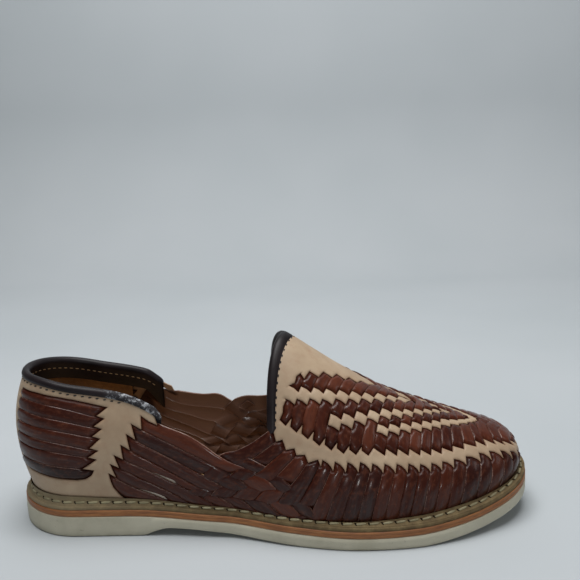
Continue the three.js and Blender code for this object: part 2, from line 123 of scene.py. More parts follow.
def read(table, key, col, x):
    """Monotone cubic through one column of a table."""
    xs, ys = np.array(table[key], float), np.array(table[col], float)
    x = np.clip(np.asarray(x, float), xs[0], xs[-1])
    h, d = np.diff(xs), np.diff(ys) / np.diff(xs)
    m = np.zeros(len(xs))
    m[0], m[-1] = d[0], d[-1]
    for i in range(1, len(xs) - 1):
        if d[i - 1] * d[i] > 0:
            a, b = 2 * h[i] + h[i - 1], h[i] + 2 * h[i - 1]
            m[i] = (a + b) / (a / d[i - 1] + b / d[i])
    i = np.clip(np.searchsorted(xs, x, side="right") - 1, 0, len(xs) - 2)
    t = (x - xs[i]) / h[i]
    return (ys[i] * (1 + 2 * t) * (1 - t) ** 2 + m[i] * h[i] * t * (1 - t) ** 2
            + ys[i + 1] * t * t * (3 - 2 * t) + m[i + 1] * h[i] * t * t * (t - 1))


def ends(x, length, heel_arc, toe_arc):
    """Share of the full width left at x by the rounding of the heel and the toe."""
    a = np.clip(1 - x / heel_arc, 0, 1)
    b = np.clip(1 - (length - x) / toe_arc, 0, 1)
    return np.sqrt(1 - a * a) * np.maximum(0, 1 - b ** TOE_POWER) ** (1 / TOE_POWER)


def sole_y(side, x, inset=0.0):
    """Edge of the sole at x, seen from above."""
    length = FEATHER_LENGTH + 2 * SOLE_OVERHANG - 2 * inset
    e = ends(x + SOLE_OVERHANG - inset, length, HEEL_ARC - inset, TOE_ARC - inset)
    return read(SOLE_PLAN, "x", "centre", x) + side * (read(SOLE_PLAN, "x", "half", x) - inset) * e


def feather_y(side, x, inset=0.0):
    """The feather line at x, seen from above: the sole's edge less the welt's margin."""
    e = ends(x - inset, FEATHER_LENGTH - 2 * inset, HEEL_ARC - 5 - inset, TOE_ARC - 7 - inset)
    half = read(SOLE_PLAN, "x", "half", x) - read(WELT_MARGIN, "x", "w", x) - inset
    return read(SOLE_PLAN, "x", "centre", x) + side * half * e


def feather_z(x):
    """Height of the feather line at x, on top of the welt."""
    return read(OUTSOLE_TOP, "x", "z", x) + LEATHER_STACK


# Millimetres of the last to the frame's metres: the CAD outsole says where the frame's zero is.
sole_low, sole_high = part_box("outsole")
SHIFT = np.array([-SOLE_OVERHANG - sole_low.x * 1000,
                  sole_y(LATERAL, np.linspace(150, 260, 400)).min() - sole_low.y * 1000, 0.0])


def metres(p):
    return (np.asarray(p, float) - SHIFT) / 1000


def bunched(count, amount):
    """Values from 0 to 1 that lie closer together at both ends."""
    t = np.linspace(0, 1, count)
    return t - amount * np.sin(2 * np.pi * t) / (2 * np.pi)


# Chart of the last: ribs from the feather line to the ridge, sampled evenly. Each rib leans
# forward as it climbs, rises as a rounded arch and swells out over the feather line.
RIBS, RUNGS = 720, 240
walk_x = FEATHER_LENGTH * bunched(6001, 0.96)
walk_step = np.hypot(np.diff(walk_x), np.diff(feather_y(LATERAL, walk_x)))
walk_u = np.concatenate([[0], np.cumsum(walk_step)])
TOE_U = walk_u[-1]
rib_x = np.interp(np.linspace(0, TOE_U, RIBS), walk_u, walk_x)
chart = np.zeros((2, RIBS, RUNGS, 3))
rib_length = np.zeros((2, RIBS))
for k, side in enumerate((LATERAL, MEDIAL)):
    ridge_x = read(RIDGE_AT, "x", "r", rib_x)
    foot = np.stack([rib_x, feather_y(side, rib_x)], 1)
    head = np.stack([ridge_x, read(RIDGE, "r", "y", ridge_x)], 1)
    out = (foot - head) / np.linalg.norm(foot - head, axis=1)[:, None]
    g = np.linspace(0, 1, 500)[None, :] ** 2.4
    plan = foot[:, None, :] * (1 - g[..., None]) + head[:, None, :] * g[..., None]
    base = feather_z(rib_x)[:, None]
    power = read(RIB, "x", "power", rib_x)[:, None]
    z = (read(RIDGE, "r", "z", plan[..., 0]) - base) * (1 - (1 - g) ** power) ** (1 / power)
    over = read(RIB, "x", "over", rib_x)[:, None]
    push = read(RIB, "x", "swell", rib_x)[:, None] * np.sin(np.pi * np.minimum(1, z / over))
    plan = plan + out[:, None, :] * push[..., None]
    rib = np.concatenate([plan, (z + base)[..., None]], 2)
    run = np.concatenate([np.zeros((RIBS, 1)),
                          np.cumsum(np.linalg.norm(np.diff(rib, axis=1), axis=2), 1)], 1)
    rib_length[k] = run[:, -1]
    for i in range(RIBS):
        even = np.linspace(0, run[i, -1], RUNGS)
        for c in range(3):
            chart[k, i, :, c] = np.interp(even, run[i], rib[i, :, c])


def wall_length(u):
    """Length of the lateral rib at u: s runs from 0 to this."""
    v = TOE_U - abs(TOE_U - abs(np.asarray(u, float)))
    return np.interp(v, np.linspace(0, TOE_U, RIBS), rib_length[0])


def spot(u, s, side):
    """Point on the last. Past the ridge, the toe or the back seam it comes down the other side."""
    u, s = np.broadcast_arrays(np.asarray(u, float), np.asarray(s, float))
    flip = np.where(u < 0, -1, 1) * np.where(u > TOE_U, -1, 1)
    u = abs(u)
    u = np.where(u > TOE_U, 2 * TOE_U - u, u)
    length = wall_length(u)
    flip = flip * np.where(s > length, -1, 1)
    s = np.where(s > length, 2 * length - s, s)
    k = ((side * flip + 1) // 2).astype(int)
    a = np.clip(u / TOE_U * (RIBS - 1), 0, RIBS - 1.0001)
    b = np.clip(s / length * (RUNGS - 1), 0, RUNGS - 1.0001)
    i, j = a.astype(int), b.astype(int)
    fa, fb = (a - i)[..., None], (b - j)[..., None]
    p = (chart[k, i, j] * (1 - fa) * (1 - fb) + chart[k, i + 1, j] * fa * (1 - fb)
         + chart[k, i, j + 1] * (1 - fa) * fb + chart[k, i + 1, j + 1] * fa * fb)
    p[..., 2] += np.minimum(s, 0)
    return p


def skin(u, s, lift=0.0, side=LATERAL):
    """Point `lift` millimetres off the last."""
    u, s = np.broadcast_arrays(np.asarray(u, float), np.asarray(s, float))
    du = spot(u + 0.7, s, side) - spot(u - 0.7, s, side)
    ds = spot(u, s + 0.7, side) - spot(u, np.maximum(s, 0.0) - 0.7, side)
    n = np.cross(du, ds) * -side
    n /= np.maximum(np.linalg.norm(n, axis=-1, keepdims=True), 1e-9)
    return spot(u, s, side) + n * np.asarray(lift, float)[..., None]


def x_at(u):
    """Distance forward of the heel at feather position u."""
    return np.interp(TOE_U - abs(TOE_U - abs(np.asarray(u, float))), walk_u, walk_x)


def u_at(x):
    """Feather position at x forward of the heel."""
    return np.interp(x, walk_x, walk_u)


def topline_s(u, side):
    """Height of the cut edge of the heel and waist, up the wall."""
    u = np.atleast_1d(np.asarray(u, float))
    k = (side + 1) // 2
    a = np.clip(abs(u) / TOE_U * (RIBS - 1), 0, RIBS - 1.0001)
    i = a.astype(int)
    f = a - i
    want = read(TOPLINE[side], "x", "h", x_at(u)) + feather_z(x_at(u))
    s = np.empty(len(u))
    for n in range(len(u)):
        zs = chart[k, i[n], :, 2] * (1 - f[n]) + chart[k, i[n] + 1, :, 2] * f[n]
        s[n] = np.interp(want[n], zs, np.linspace(0, 1, RUNGS))
    return s * wall_length(u)


THROAT_U = float(u_at(THROAT_X))
throat_v = {side: float(topline_s(THROAT_U, side)[0] / wall_length(THROAT_U))
            for side in (LATERAL, MEDIAL)}


def throat_edge(w, side, forward=0.0):
    """(u, s) on the cut edge of the throat, w from its corner (0) to the ridge (1)."""
    x = THROAT_X + forward
    fade = np.clip(1 - (x - THROAT_X) / (FEATHER_LENGTH - THROAT_X), 0, 1) ** 1.3
    ease = min(2.2, 1.2 + forward / 64)
    u = u_at(x - THROAT_LEAN * fade * w ** ease)
    return u, (throat_v[side] + (1 - throat_v[side]) * w) * wall_length(u)


# ---------------------------------------------------------------------------
# Outsole: off-white blown rubber, cut to the outline with its heel wedge in one piece,
# the edge ground smooth and gone grey-green with handling; the tread is plain.
# ---------------------------------------------------------------------------
OUTLINE_POINTS = 190


def srgb(code):
    """An sRGB hex colour as linear RGBA."""
    v = [int(code[i:i + 2], 16) / 255 for i in (1, 3, 5)]
    return tuple(c / 12.92 if c < 0.04045 else ((c + 0.055) / 1.055) ** 2.4 for c in v) + (1.0,)


def add(tree, kind, inputs=(), stops=(), **settings):
    """Adds a node. Each input is a value or a socket to link; stops are a ramp's colours."""
    made = tree.nodes.new(kind)
    for name, value in settings.items():
        setattr(made, name, value)
    for name, value in dict(inputs).items():
        if isinstance(value, bpy.types.NodeSocket):
            tree.links.new(value, made.inputs[name])
        else:
            made.inputs[name].default_value = value
    for _ in stops[2:]:
        made.color_ramp.elements.new(0.5)
    for mark, (at, code) in zip(made.color_ramp.elements if stops else (), stops):
        mark.position, mark.color = at, srgb(code)
    return made


def material(name, roughness=0.5, coat=0.0, coat_roughness=0.3, sheen=0.0, specular=0.5):
    """A new material: its tree and shader. Constant finish values sit on the shader."""
    m = bpy.data.materials.new(name)
    m.use_nodes = True
    shader = m.node_tree.nodes["Principled BSDF"]
    shader.inputs["Roughness"].default_value = roughness
    shader.inputs["Coat Weight"].default_value = coat
    shader.inputs["Coat Roughness"].default_value = coat_roughness
    shader.inputs["Sheen Weight"].default_value = sheen
    shader.inputs["Specular IOR Level"].default_value = specular
    return m, m.node_tree, shader


def place(tree, size=1.0, stretch=(1, 1, 1), line=None):
    """The object's millimetres, or a strip's own, divided by `size` millimetres."""
    scale = (1000 if line is None else 1) / size
    if line is None:
        line = add(tree, "ShaderNodeTexCoord").outputs["Object"]
    return add(tree, "ShaderNodeMapping",
               {"Vector": line, "Scale": tuple(scale * k for k in stretch)}).outputs[0]


def mottle(tree, size, detail=3.0, rough=0.55, stretch=(1, 1, 1), line=None):
    """A cloudy pattern with spots of about `size` millimetres."""
    return add(tree, "ShaderNodeTexNoise", {"Vector": place(tree, size, stretch, line), "Scale": 1.0,
                                            "Detail": detail, "Roughness": rough}).outputs["Fac"]


def weigh(tree, *patterns):
    """Product of patterns, each a socket or (socket, low, high, value at low, value at high)."""
    total = None
    for pattern in patterns:
        if isinstance(pattern, tuple):
            names = ("Value", "From Min", "From Max", "To Min", "To Max")
            pattern = add(tree, "ShaderNodeMapRange", dict(zip(names, pattern))).outputs[0]
        total = pattern if total is None else add(
            tree, "ShaderNodeMath", {0: total, 1: pattern}, operation="MULTIPLY").outputs[0]
    return total


def stain(tree, tint, code, *patterns):
    """Lets another colour into the tint, as strongly as the patterns say."""
    return add(tree, "ShaderNodeMix", {0: weigh(tree, *patterns), 6: tint, 7: srgb(code)},
               data_type="RGBA").outputs[2]


def emboss(tree, shader, *layers):
    """Relief on a shader, finest layer first: (height, depth in millimetres, strength)."""
    under = {}
    for height, depth, strength in layers:
        relief = {"Height": height, "Distance": depth / 1000, "Strength": strength}
        under = {"Normal": add(tree, "ShaderNodeBump", {**relief, **under}).outputs[0]}
    tree.links.new(under["Normal"], shader.inputs["Normal"])


def make_piece(name, verts, faces, mat, smooth=40, attributes=(), slots=(), face_slots=None):
    """A finished mesh object from millimetre points, sharp only past `smooth` degrees."""
    mesh = bpy.data.meshes.new(name)
    mesh.from_pydata([tuple(v) for v in metres(verts)], [], [tuple(int(i) for i in f) for f in faces])
    for m in (mat, *slots):
        mesh.materials.append(m)
    if face_slots is not None:
        mesh.polygons.foreach_set("material_index", np.asarray(face_slots, np.int32))
    for key, values in dict(attributes).items():
        layer = mesh.attributes.new(key, "FLOAT", "POINT")
        layer.data.foreach_set("value", np.asarray(values, np.float32))
    mesh.validate()
    mesh.polygons.foreach_set("use_smooth", np.ones(len(mesh.polygons), bool))
    mesh.set_sharp_from_angle(angle=math.radians(smooth))
    mesh.update()
    piece = bpy.data.objects.new(name, mesh)
    bpy.context.scene.collection.objects.link(piece)
    return piece


def finish_piece(piece, slot_name, *nodes):
    """Fixes a piece to the shoe in place of the nodes it stands for; slot_name is not used."""
    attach(piece, ROOT)
    if nodes:
        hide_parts(*nodes)
    return piece


def outline_loop(inset, count, line, back, front):
    """Plan points round an outline: lateral heel to toe, then medial toe to heel."""
    lo, hi = back + inset, front - inset
    x = lo + (hi - lo) * bunched(count, 0.93)
    lat, med = line(LATERAL, x, inset), line(MEDIAL, x, inset)
    mid = read(SOLE_PLAN, "x", "centre", x)
    lat[[0, -1]] = med[[0, -1]] = mid[[0, -1]]
    return np.concatenate([np.stack([x, lat], 1), np.stack([x, med], 1)[-2:0:-1]])


def stacked(rings, count=OUTLINE_POINTS, line=sole_y, back=-SOLE_OVERHANG,
            front=FEATHER_LENGTH + SOLE_OVERHANG):
    """Closed plate through rings of (inset, share of the rubber's height, millimetres more)."""
    loops = []
    for inset, share, more in rings:
        loop = outline_loop(inset, count, line, back, front)
        low, high = (read(table, "x", "z", loop[:, 0]) for table in (TREAD, OUTSOLE_TOP))
        loops.append(np.column_stack([loop, low + (high - low) * share + more]))
    n = len(loops[0])
    faces = [(r * n + i, r * n + (i + 1) % n, (r + 1) * n + (i + 1) % n, (r + 1) * n + i)
             for r in range(len(loops) - 1) for i in range(n)]
    for r, turn in ((0, -1), (len(loops) - 1, 1)):
        for i in range(count - 1):
            rung = [r * n + i, r * n + i + 1, r * n + (n - i - 1) % n, r * n + (n - i) % n]
            faces.append(tuple(list(dict.fromkeys(rung))[::turn]))
    return np.concatenate(loops), faces


# Blown rubber, moulded and then ground: matt and faintly pored, clouded by handling, with
# dust rubbed in low down and a few dark specks.
blown_rubber, t, shader = material("blown rubber, ground edge", roughness=0.62, specular=0.35)
tint = add(t, "ShaderNodeValToRGB", {"Fac": mottle(t, 22, 5, 0.6)},
           [(0.30, "#c4bfab"), (0.55, "#b8b39f"), (0.75, "#a49f8a")]).outputs["Color"]
height_now = add(t, "ShaderNodeSeparateXYZ", {0: place(t)}).outputs[2]
dust = weigh(t, (height_now, 0.0, 3.2, 1.0, 0.0), mottle(t, 5, 4))
tint = stain(t, tint, "#746c55", (dust, 0.15, 0.8, 0.0, 0.6))
tint = stain(t, tint, "#77715f", (mottle(t, 1.6, 2), 0.68, 0.75, 0.0, 0.35))
t.links.new(tint, shader.inputs["Base Color"])
emboss(t, shader, (mottle(t, 0.7, 2), 0.05, 0.5), (mottle(t, 9, 2, stretch=(1, 1, 4)), 0.25, 0.5))

verts, faces = stacked([(3.2, 0, 0), (1.5, 0, 0), (0.75, 0, 0.25), (0.25, 0, 0.85), (0.1, 0.3, 0),
                        (0.05, 0.65, 0), (0.15, 1, -0.4), (0.6, 1, -0.05), (2.0, 1, 0)])
finish_piece(make_piece("outsole_rubber", verts, faces, blown_rubber, 50), "outsole", "outsole")

# ---------------------------------------------------------------------------
# Midsole: two plies of vegetable-tanned sole leather glued together; the trimmed edge is
# dyed orange-brown and burnished, with the glue line showing as a thin groove.
# ---------------------------------------------------------------------------
# Sole leather, trimmed and burnished: fine fibres run round the edge, under a soft shine.
sole_leather, t, shader = material("sole leather, burnished edge", roughness=0.5, specular=0.4)
fibres = mottle(t, 1.4, 4, stretch=(0.18, 0.18, 1.6))
tint = add(t, "ShaderNodeValToRGB", {"Fac": fibres},
           [(0.3, "#7d4f2e"), (0.55, "#986338"), (0.8, "#ab784a")]).outputs["Color"]
tint = stain(t, tint, "#7d4e2c", (mottle(t, 30), 0.45, 0.75, 0, 0.5))
t.links.new(tint, shader.inputs["Base Color"])
emboss(t, shader, (fibres, 0.12, 0.6))

verts, faces = stacked([(1.5, 1, 0.05), (0.5, 1, 0.05), (0.3, 1, 0.3), (0.3, 1, 1.65), (0.45, 1, 1.85),
                        (0.45, 1, 1.95), (0.3, 1, 2.15), (0.3, 1, 3.3), (0.6, 1, 3.6), (2.0, 1, 3.6)])
finish_piece(make_piece("midsole_plies", verts, faces, sole_leather, 50), "midsole", "midsole")

# ---------------------------------------------------------------------------
# Welt: a runner of undyed leather round the shoe. It lies flat outside and turns up against
# the wall inside; waxed thread is sewn through it in long stitches with awl holes between.
# ---------------------------------------------------------------------------
# Undyed leather, trimmed by hand: dull and blotched olive-brown, cleaner toward the heel.
raw_leather, t, shader = material("undyed leather runner, hand trimmed", roughness=0.75, specular=0.3)
tint = add(t, "ShaderNodeValToRGB", {"Fac": mottle(t, 6, 5, 0.65)},
           [(0.3, "#54442c"), (0.52, "#6b5a3c"), (0.75, "#82714f")]).outputs["Color"]
tint = stain(t, tint, "#5b4c34", (mottle(t, 2.2), 0.5, 0.72, 0, 0.5))
length_now = add(t, "ShaderNodeSeparateXYZ", {0: place(t)}).outputs[0]
tint = stain(t, tint, "#9c8f74", (length_now, -130.0, -35.0, 0.5, 0.0))
t.links.new(tint, shader.inputs["Base Color"])
emboss(t, shader, (mottle(t, 1.1, 4), 0.25, 0.7))

verts, faces = stacked([(2.0, 1, 3.65), (0.9, 1, 3.7), (0.7, 1, 3.95), (0.75, 1, 5.3), (1.1, 1, 5.75),
                        (1.7, 1, 5.9), (4.0, 1, 5.9)])
finish_piece(make_piece("welt_runner", verts, faces, raw_leather, 50), "welt", "welt")

# How far the turned-up part climbs the wall, along the feather line.
RAND = dict(u=[0, 40, 70, 110, 140, 165, 200, 230, 262, 300, 323],
            up=[5.5, 5.5, 4.0, 3.0, 2.2, 1.6, 1.6, 2.6, 3.2, 2.6, 2.2])
RAND_POINTS, STITCH_ROW = 420, 5


def outward(u, side, reach):
    """Point `reach` millimetres outside the feather line, at its height."""
    a, b = spot(u + 0.6, 0.0, side), spot(u - 0.6, 0.0, side)
    d = (a - b)[:, :2]
    n = np.stack([d[:, 1], -d[:, 0]], 1) * -np.asarray(side)[:, None]
    n /= np.linalg.norm(n, axis=1)[:, None]
    p = spot(u, 0.0, side)
    p[:, :2] += n * np.asarray(reach)[:, None]
    p[:, 2] = feather_z(p[:, 0])
    return p


ring_u = np.linspace(0, TOE_U, RAND_POINTS)
ring_u = np.concatenate([ring_u, ring_u[-2:0:-1]])
ring_side = np.concatenate([np.full(RAND_POINTS, LATERAL), np.full(RAND_POINTS - 2, MEDIAL)])
margin = read(WELT_MARGIN, "x", "w", x_at(ring_u))
climb = read(RAND, "u", "up", ring_u)
outer_edge = outward(ring_u, ring_side, margin - 1.6)
fold = outward(ring_u, ring_side, margin * 0.25)
wall = np.empty_like(fold)
for side in (LATERAL, MEDIAL):
    on = ring_side == side
    wall[on] = skin(ring_u[on], climb[on], 1.1, side)
rand_rows = []
for q in np.linspace(0, 1, 9):
    rand_rows.append(wall * (1 - q) ** 2 + (fold + np.array([0, 0, 0.7])) * 2 * q * (1 - q)
                     + outer_edge * q * q + np.array([0, 0, 0.35 * math.sin(math.pi * q) + 0.1]))
rand_rows.append(outer_edge + np.array([0, 0, -0.5]))
rand_rows.append(fold + np.array([0, 0, -0.5]))
n, m = len(ring_u), len(rand_rows)
faces = [(i + r * n, (i + 1) % n + r * n, (i + 1) % n + ((r + 1) % m) * n, i + ((r + 1) % m) * n)
         for r in range(m) for i in range(n)]
finish_piece(make_piece("welt_turned_up", np.concatenate(rand_rows), faces, raw_leather, 60), "welt")


def stitch_tree():
    """Geometry nodes: one rounded stitch every Pitch along the line, lying on its `up` vector."""
    tree = bpy.data.node_groups.new("stitch line", "GeometryNodeTree")
    face = tree.interface
    face.new_socket("Geometry", in_out="INPUT", socket_type="NodeSocketGeometry")
    for label in ("Pitch", "Length", "Width", "Height", "Turn"):
        face.new_socket(label, in_out="INPUT", socket_type="NodeSocketFloat")
    face.new_socket("Material", in_out="INPUT", socket_type="NodeSocketMaterial")
    face.new_socket("Geometry", in_out="OUTPUT", socket_type="NodeSocketGeometry")
    given = add(tree, "NodeGroupInput").outputs
    curve = add(tree, "GeometryNodeMeshToCurve", {"Mesh": given["Geometry"]})
    even = add(tree, "GeometryNodeResampleCurve", {"Curve": curve.outputs[0], "Length": given["Pitch"]},
               mode="LENGTH")
    up = add(tree, "GeometryNodeInputNamedAttribute", {"Name": "up"}, data_type="FLOAT_VECTOR")
    along = add(tree, "GeometryNodeInputTangent")
    spin = add(tree, "FunctionNodeAlignRotationToVector", {"Vector": up.outputs[0]}, axis="Z")
    spin = add(tree, "FunctionNodeAlignRotationToVector",
               {"Rotation": spin.outputs[0], "Vector": along.outputs[0]}, axis="X", pivot_axis="Z")
    extra = add(tree, "ShaderNodeCombineXYZ", {"Z": given["Turn"]})
    turned = add(tree, "FunctionNodeRotateRotation",
                 {"Rotation": spin.outputs[0], "Rotate By": extra.outputs[0]}, rotation_space="LOCAL")
    bead = add(tree, "GeometryNodeMeshUVSphere", {"Segments": 8, "Rings": 6, "Radius": 0.5})
    size = add(tree, "ShaderNodeCombineXYZ", {"X": given["Length"], "Y": given["Width"], "Z": given["Height"]})
    shape = add(tree, "GeometryNodeTransform", {"Geometry": bead.outputs[0], "Scale": size.outputs[0]})
    put = add(tree, "GeometryNodeInstanceOnPoints",
              {"Points": even.outputs[0], "Instance": shape.outputs[0], "Rotation": turned.outputs[0]})
    real = add(tree, "GeometryNodeRealizeInstances", {"Geometry": put.outputs[0]})
    smooth = add(tree, "GeometryNodeSetShadeSmooth", {"Geometry": real.outputs[0]})
    done = add(tree, "GeometryNodeSetMaterial", {"Geometry": smooth.outputs[0], "Material": given["Material"]})
    add(tree, "NodeGroupOutput", {"Geometry": done.outputs[0]})
    return tree


stitching = stitch_tree()


def sew(name, points, up, mat, slot_name, pitch, length, width, height, turn=0.0, closed=False):
    """Runs the stitch tree along a line of millimetre points and keeps the plain mesh."""
    mesh = bpy.data.meshes.new(name)
    count = len(points)
    links = [(i, i + 1) for i in range(count - 1)] + ([(count - 1, 0)] if closed else [])
    mesh.from_pydata([tuple(p) for p in metres(points)], links, [])
    layer = mesh.attributes.new("up", "FLOAT_VECTOR", "POINT")
    layer.data.foreach_set("vector", np.asarray(up, np.float32).ravel())
    line = bpy.data.objects.new(name, mesh)
    bpy.context.scene.collection.objects.link(line)
    nodes = line.modifiers.new("stitches", "NODES")
    nodes.node_group = stitching
    values = {"Pitch": pitch / 1000, "Length": length / 1000, "Width": width / 1000,
              "Height": height / 1000, "Turn": turn, "Material": mat}
    for item in stitching.interface.items_tree:
        if item.in_out == "INPUT" and item.name in values:
            nodes[item.identifier] = values[item.name]
    seen = bpy.context.evaluated_depsgraph_get()
    line.update_tag()
    bpy.context.view_layer.update()
    plain = bpy.data.meshes.new_from_object(line.evaluated_get(seen), depsgraph=seen)
    line.modifiers.remove(nodes)
    line.data = plain
    plain.name = name
    return finish_piece(line, slot_name)


# Linen thread drawn through wax and greyed with dust: dull strands with a faint twist.
waxed_thread, t, shader = material("waxed linen thread, greyed", roughness=0.6, specular=0.35)
twist = add(t, "ShaderNodeTexWave", {"Vector": place(t, 3.0), "Scale": 2.5, "Distortion": 2.0}).outputs["Fac"]
tint = add(t, "ShaderNodeValToRGB", {"Fac": mottle(t, 8)},
           [(0.35, "#857d60"), (0.7, "#b0a785")]).outputs["Color"]
t.links.new(tint, shader.inputs["Base Color"])
emboss(t, shader, (twist, 0.12, 0.6))
# An awl's hole in the runner, drawn as a dark dash: painted shade in the hole.
awl_hole_shade, t, shader = material("awl hole, shadowed", roughness=0.9, specular=0.1)
shader.inputs["Base Color"].default_value = srgb("#1c150d")


def along_rand(row, lift):
    """Points along one row of the turned-up welt, and the way up from it."""
    p = rand_rows[row] + np.array([0, 0, lift])
    d = np.roll(p, -1, 0) - np.roll(p, 1, 0)
    across = rand_rows[row + 1] - rand_rows[row - 1]
    up = np.cross(d, across)
    up *= np.sign(up[:, 2:3])
    return p, up / np.linalg.norm(up, axis=1)[:, None]


p, up = along_rand(STITCH_ROW, 0.15)
sew("welt_stitches", p, up, waxed_thread, "welt", 7.0, 5.9, 1.35, 1.0, turn=0.08, closed=True)
p, up = along_rand(STITCH_ROW, 0.05)
half_pitch = 5
sew("welt_awl_hole_shades", np.roll(p, -half_pitch, 0), np.roll(up, -half_pitch, 0), awl_hole_shade, "welt",
    7.0, 1.1, 2.2, 0.5, turn=0.5, closed=True)

# ---------------------------------------------------------------------------
# Insole: a sock of smooth natural leather, cut to the feather line with a little play. It
# lies loose inside the wall on the welt.
# ---------------------------------------------------------------------------
# Natural leather, smooth side up: warm light brown in broad clouds, with a low even shine.
sock_leather, t, shader = material("natural leather sock, smooth", roughness=0.6, specular=0.35)
tint = add(t, "ShaderNodeValToRGB", {"Fac": mottle(t, 40, 4)},
           [(0.3, "#8f6f4a"), (0.6, "#a9865c"), (0.8, "#b8966c")]).outputs["Color"]
t.links.new(tint, shader.inputs["Base Color"])
emboss(t, shader, (mottle(t, 1.3), 0.08, 0.5))

SOCK_INSET = 3.1
verts, faces = stacked([(SOCK_INSET + more, 1, LEATHER_STACK + h)
                        for more, h in ((0.3, 0.35), (0, 0.6), (0, 2.5), (0.5, 2.85), (6, 2.9))],
                       120, feather_y, 0.0, FEATHER_LENGTH)
finish_piece(make_piece("insole_sock", verts, faces, sock_leather, 50), "insole", "insole")

# ---------------------------------------------------------------------------
# Lining: the flesh side of the uncut hide behind the strips. It closes the heel and the
# vamp and is left out at the waist, where the strips are the whole wall.
# ---------------------------------------------------------------------------
LINING_FACES = (-1.75, -2.4)


def sheet(outer, inner):
    """Joins an outer and an inner grid of points (rows x columns x 3) into a closed sheet."""
    rows, cols = outer.shape[:2]
    verts = np.concatenate([outer.reshape(-1, 3), inner.reshape(-1, 3)])
    half = rows * cols
    faces = []
    for i in range(rows - 1):
        for j in range(cols - 1):
            a, b, c, d = i * cols + j, i * cols + j + 1, (i + 1) * cols + j + 1, (i + 1) * cols + j
            faces += [(a, b, c, d), (half + a, half + d, half + c, half + b)]
    rim = ([(0, j) for j in range(cols)] + [(i, cols - 1) for i in range(1, rows)]
           + [(rows - 1, j) for j in range(cols - 2, -1, -1)] + [(i, 0) for i in range(rows - 2, 0, -1)])
    for (i, j), (m, n) in zip(rim, rim[1:] + rim[:1]):
        faces.append((m * cols + n, i * cols + j, half + i * cols + j, half + m * cols + n))
    return verts, faces


def outward_faces(verts, faces):
    """Turns every face over if the closed mesh encloses a negative volume."""
    verts = np.asarray(verts)
    volume = 0.0
    for face in faces:
        p = verts[list(face)]
        for k in range(1, len(face) - 1):
            volume += float(np.dot(p[0], np.cross(p[k], p[k + 1])))
    return faces if volume > 0 else [tuple(reversed(face)) for face in faces]


# Hide with its flesh side out: rough nap, matt and woolly, brown in uneven patches.
flesh_side, t, shader = material("hide, flesh side", roughness=0.95, sheen=0.25, specular=0.15)
nap = mottle(t, 2.2, 5, 0.7)
tint = add(t, "ShaderNodeValToRGB", {"Fac": mottle(t, 26, 4)},
           [(0.35, "#86633e"), (0.65, "#a98050")]).outputs["Color"]
tint = stain(t, tint, "#64482f", (nap, 0.35, 0.7, 0, 0.55))
t.links.new(tint, shader.inputs["Base Color"])
emboss(t, shader, (nap, 0.3, 0.7))
# The same hide's outer face, near black: painted shade for the gaps between the strips.
flesh_painted_shade, t, shader = material("hide behind the strips, painted shade", roughness=0.95, specular=0.1)
tint = add(t, "ShaderNodeValToRGB", {"Fac": mottle(t, 3, 4)},
           [(0.4, "#1c110b"), (0.7, "#36231a")]).outputs["Color"]
t.links.new(tint, shader.inputs["Base Color"])


def heel_wall(lift):
    """Grid of points round the heel, from the insole to just under the topline."""
    grid = np.zeros((112, 40, 3))
    for i, u in enumerate(np.linspace(-70, 84, len(grid))):
        side = LATERAL if u >= 0 else MEDIAL
        s = np.linspace(0.5, topline_s(abs(u), side)[0] - 1.0, 40)
        grid[i] = skin(np.full(40, abs(u)), s, lift, side)
    return grid


def vamp_wall(lift):
    """Grid of points over the vamp, row by row from one feather line to the other."""
    grid = np.zeros((141, 90, 3))
    for i, v in enumerate(np.linspace(0, 2, len(grid))):
        side = LATERAL if v <= 1 else MEDIAL
        h = v if v <= 1 else 2 - v
        if h > throat_v[side]:
            start, _ = throat_edge((h - throat_v[side]) / (1 - throat_v[side]), side, 1.0)
        else:
            start = THROAT_U + 1.0 + 8.0 * (throat_v[side] - h) / throat_v[side]
        u = start + (TOE_U - start) * np.linspace(0, 1, 90) ** 0.9
        s = np.maximum(h * wall_length(u), 0.5)
        on_last, off_last = spot(u, s, side), skin(u, s, lift, side)
        pinched = ((u > TOE_U - 14) & (h > 0.86)) | ((h > 0.5) & (off_last[:, 2] > on_last[:, 2]))
        grid[i] = np.where(pinched[:, None], on_last + [0, 0, lift], off_last)
    return grid


for name, wall_at, nodes in (("heel_lining", heel_wall, ()), ("vamp_lining", vamp_wall, ("upper",))):
    verts, faces = sheet(*(wall_at(lift) for lift in LINING_FACES))
    faces = outward_faces(verts, faces)
    inner_face = [int(min(face) >= len(verts) // 2) for face in faces]
    finish_piece(make_piece(name, verts, faces, flesh_painted_shade, 60, slots=[flesh_side], face_slots=inner_face),
                 "upper", *nodes)

# ---------------------------------------------------------------------------
# Tan hide: undyed vegetable-tanned leather cut with slits. It shows as the counter, the
# tongue and the toothed bands, with the strips going under its cut edges.
# ---------------------------------------------------------------------------
TAN_TOP, TAN_THICK, EDGE_ROLL = 0.25, 1.2, 0.45
CUT_STEP, FILL_STEP = 1.1, 1.7


def resample(outline):
    """Points along a closed outline, corners kept, no gap longer than the cut step."""
    corners = [np.asarray(p, float) for p in outline]
    out = []
    for a, b in zip(corners, corners[1:] + corners[:1]):
        k = max(1, int(math.ceil(np.linalg.norm(b - a) / CUT_STEP)))
        out += [a + (b - a) * i / k for i in range(k)]
    return np.array(out)


def to_segments(p, a, b):
    """Distance from each point p to the nearest of the segments a-b."""
    best = np.full(len(p), 1e9)
    for i in range(0, len(a), 200):
        a0, ab = a[i:i + 200][None], (b - a)[i:i + 200][None]
        k = np.clip(((p[:, None] - a0) * ab).sum(2) / np.maximum((ab ** 2).sum(2), 1e-12), 0, 1)
        best = np.minimum(best, np.linalg.norm(p[:, None] - a0 - ab * k[..., None], axis=2).min(1))
    return best


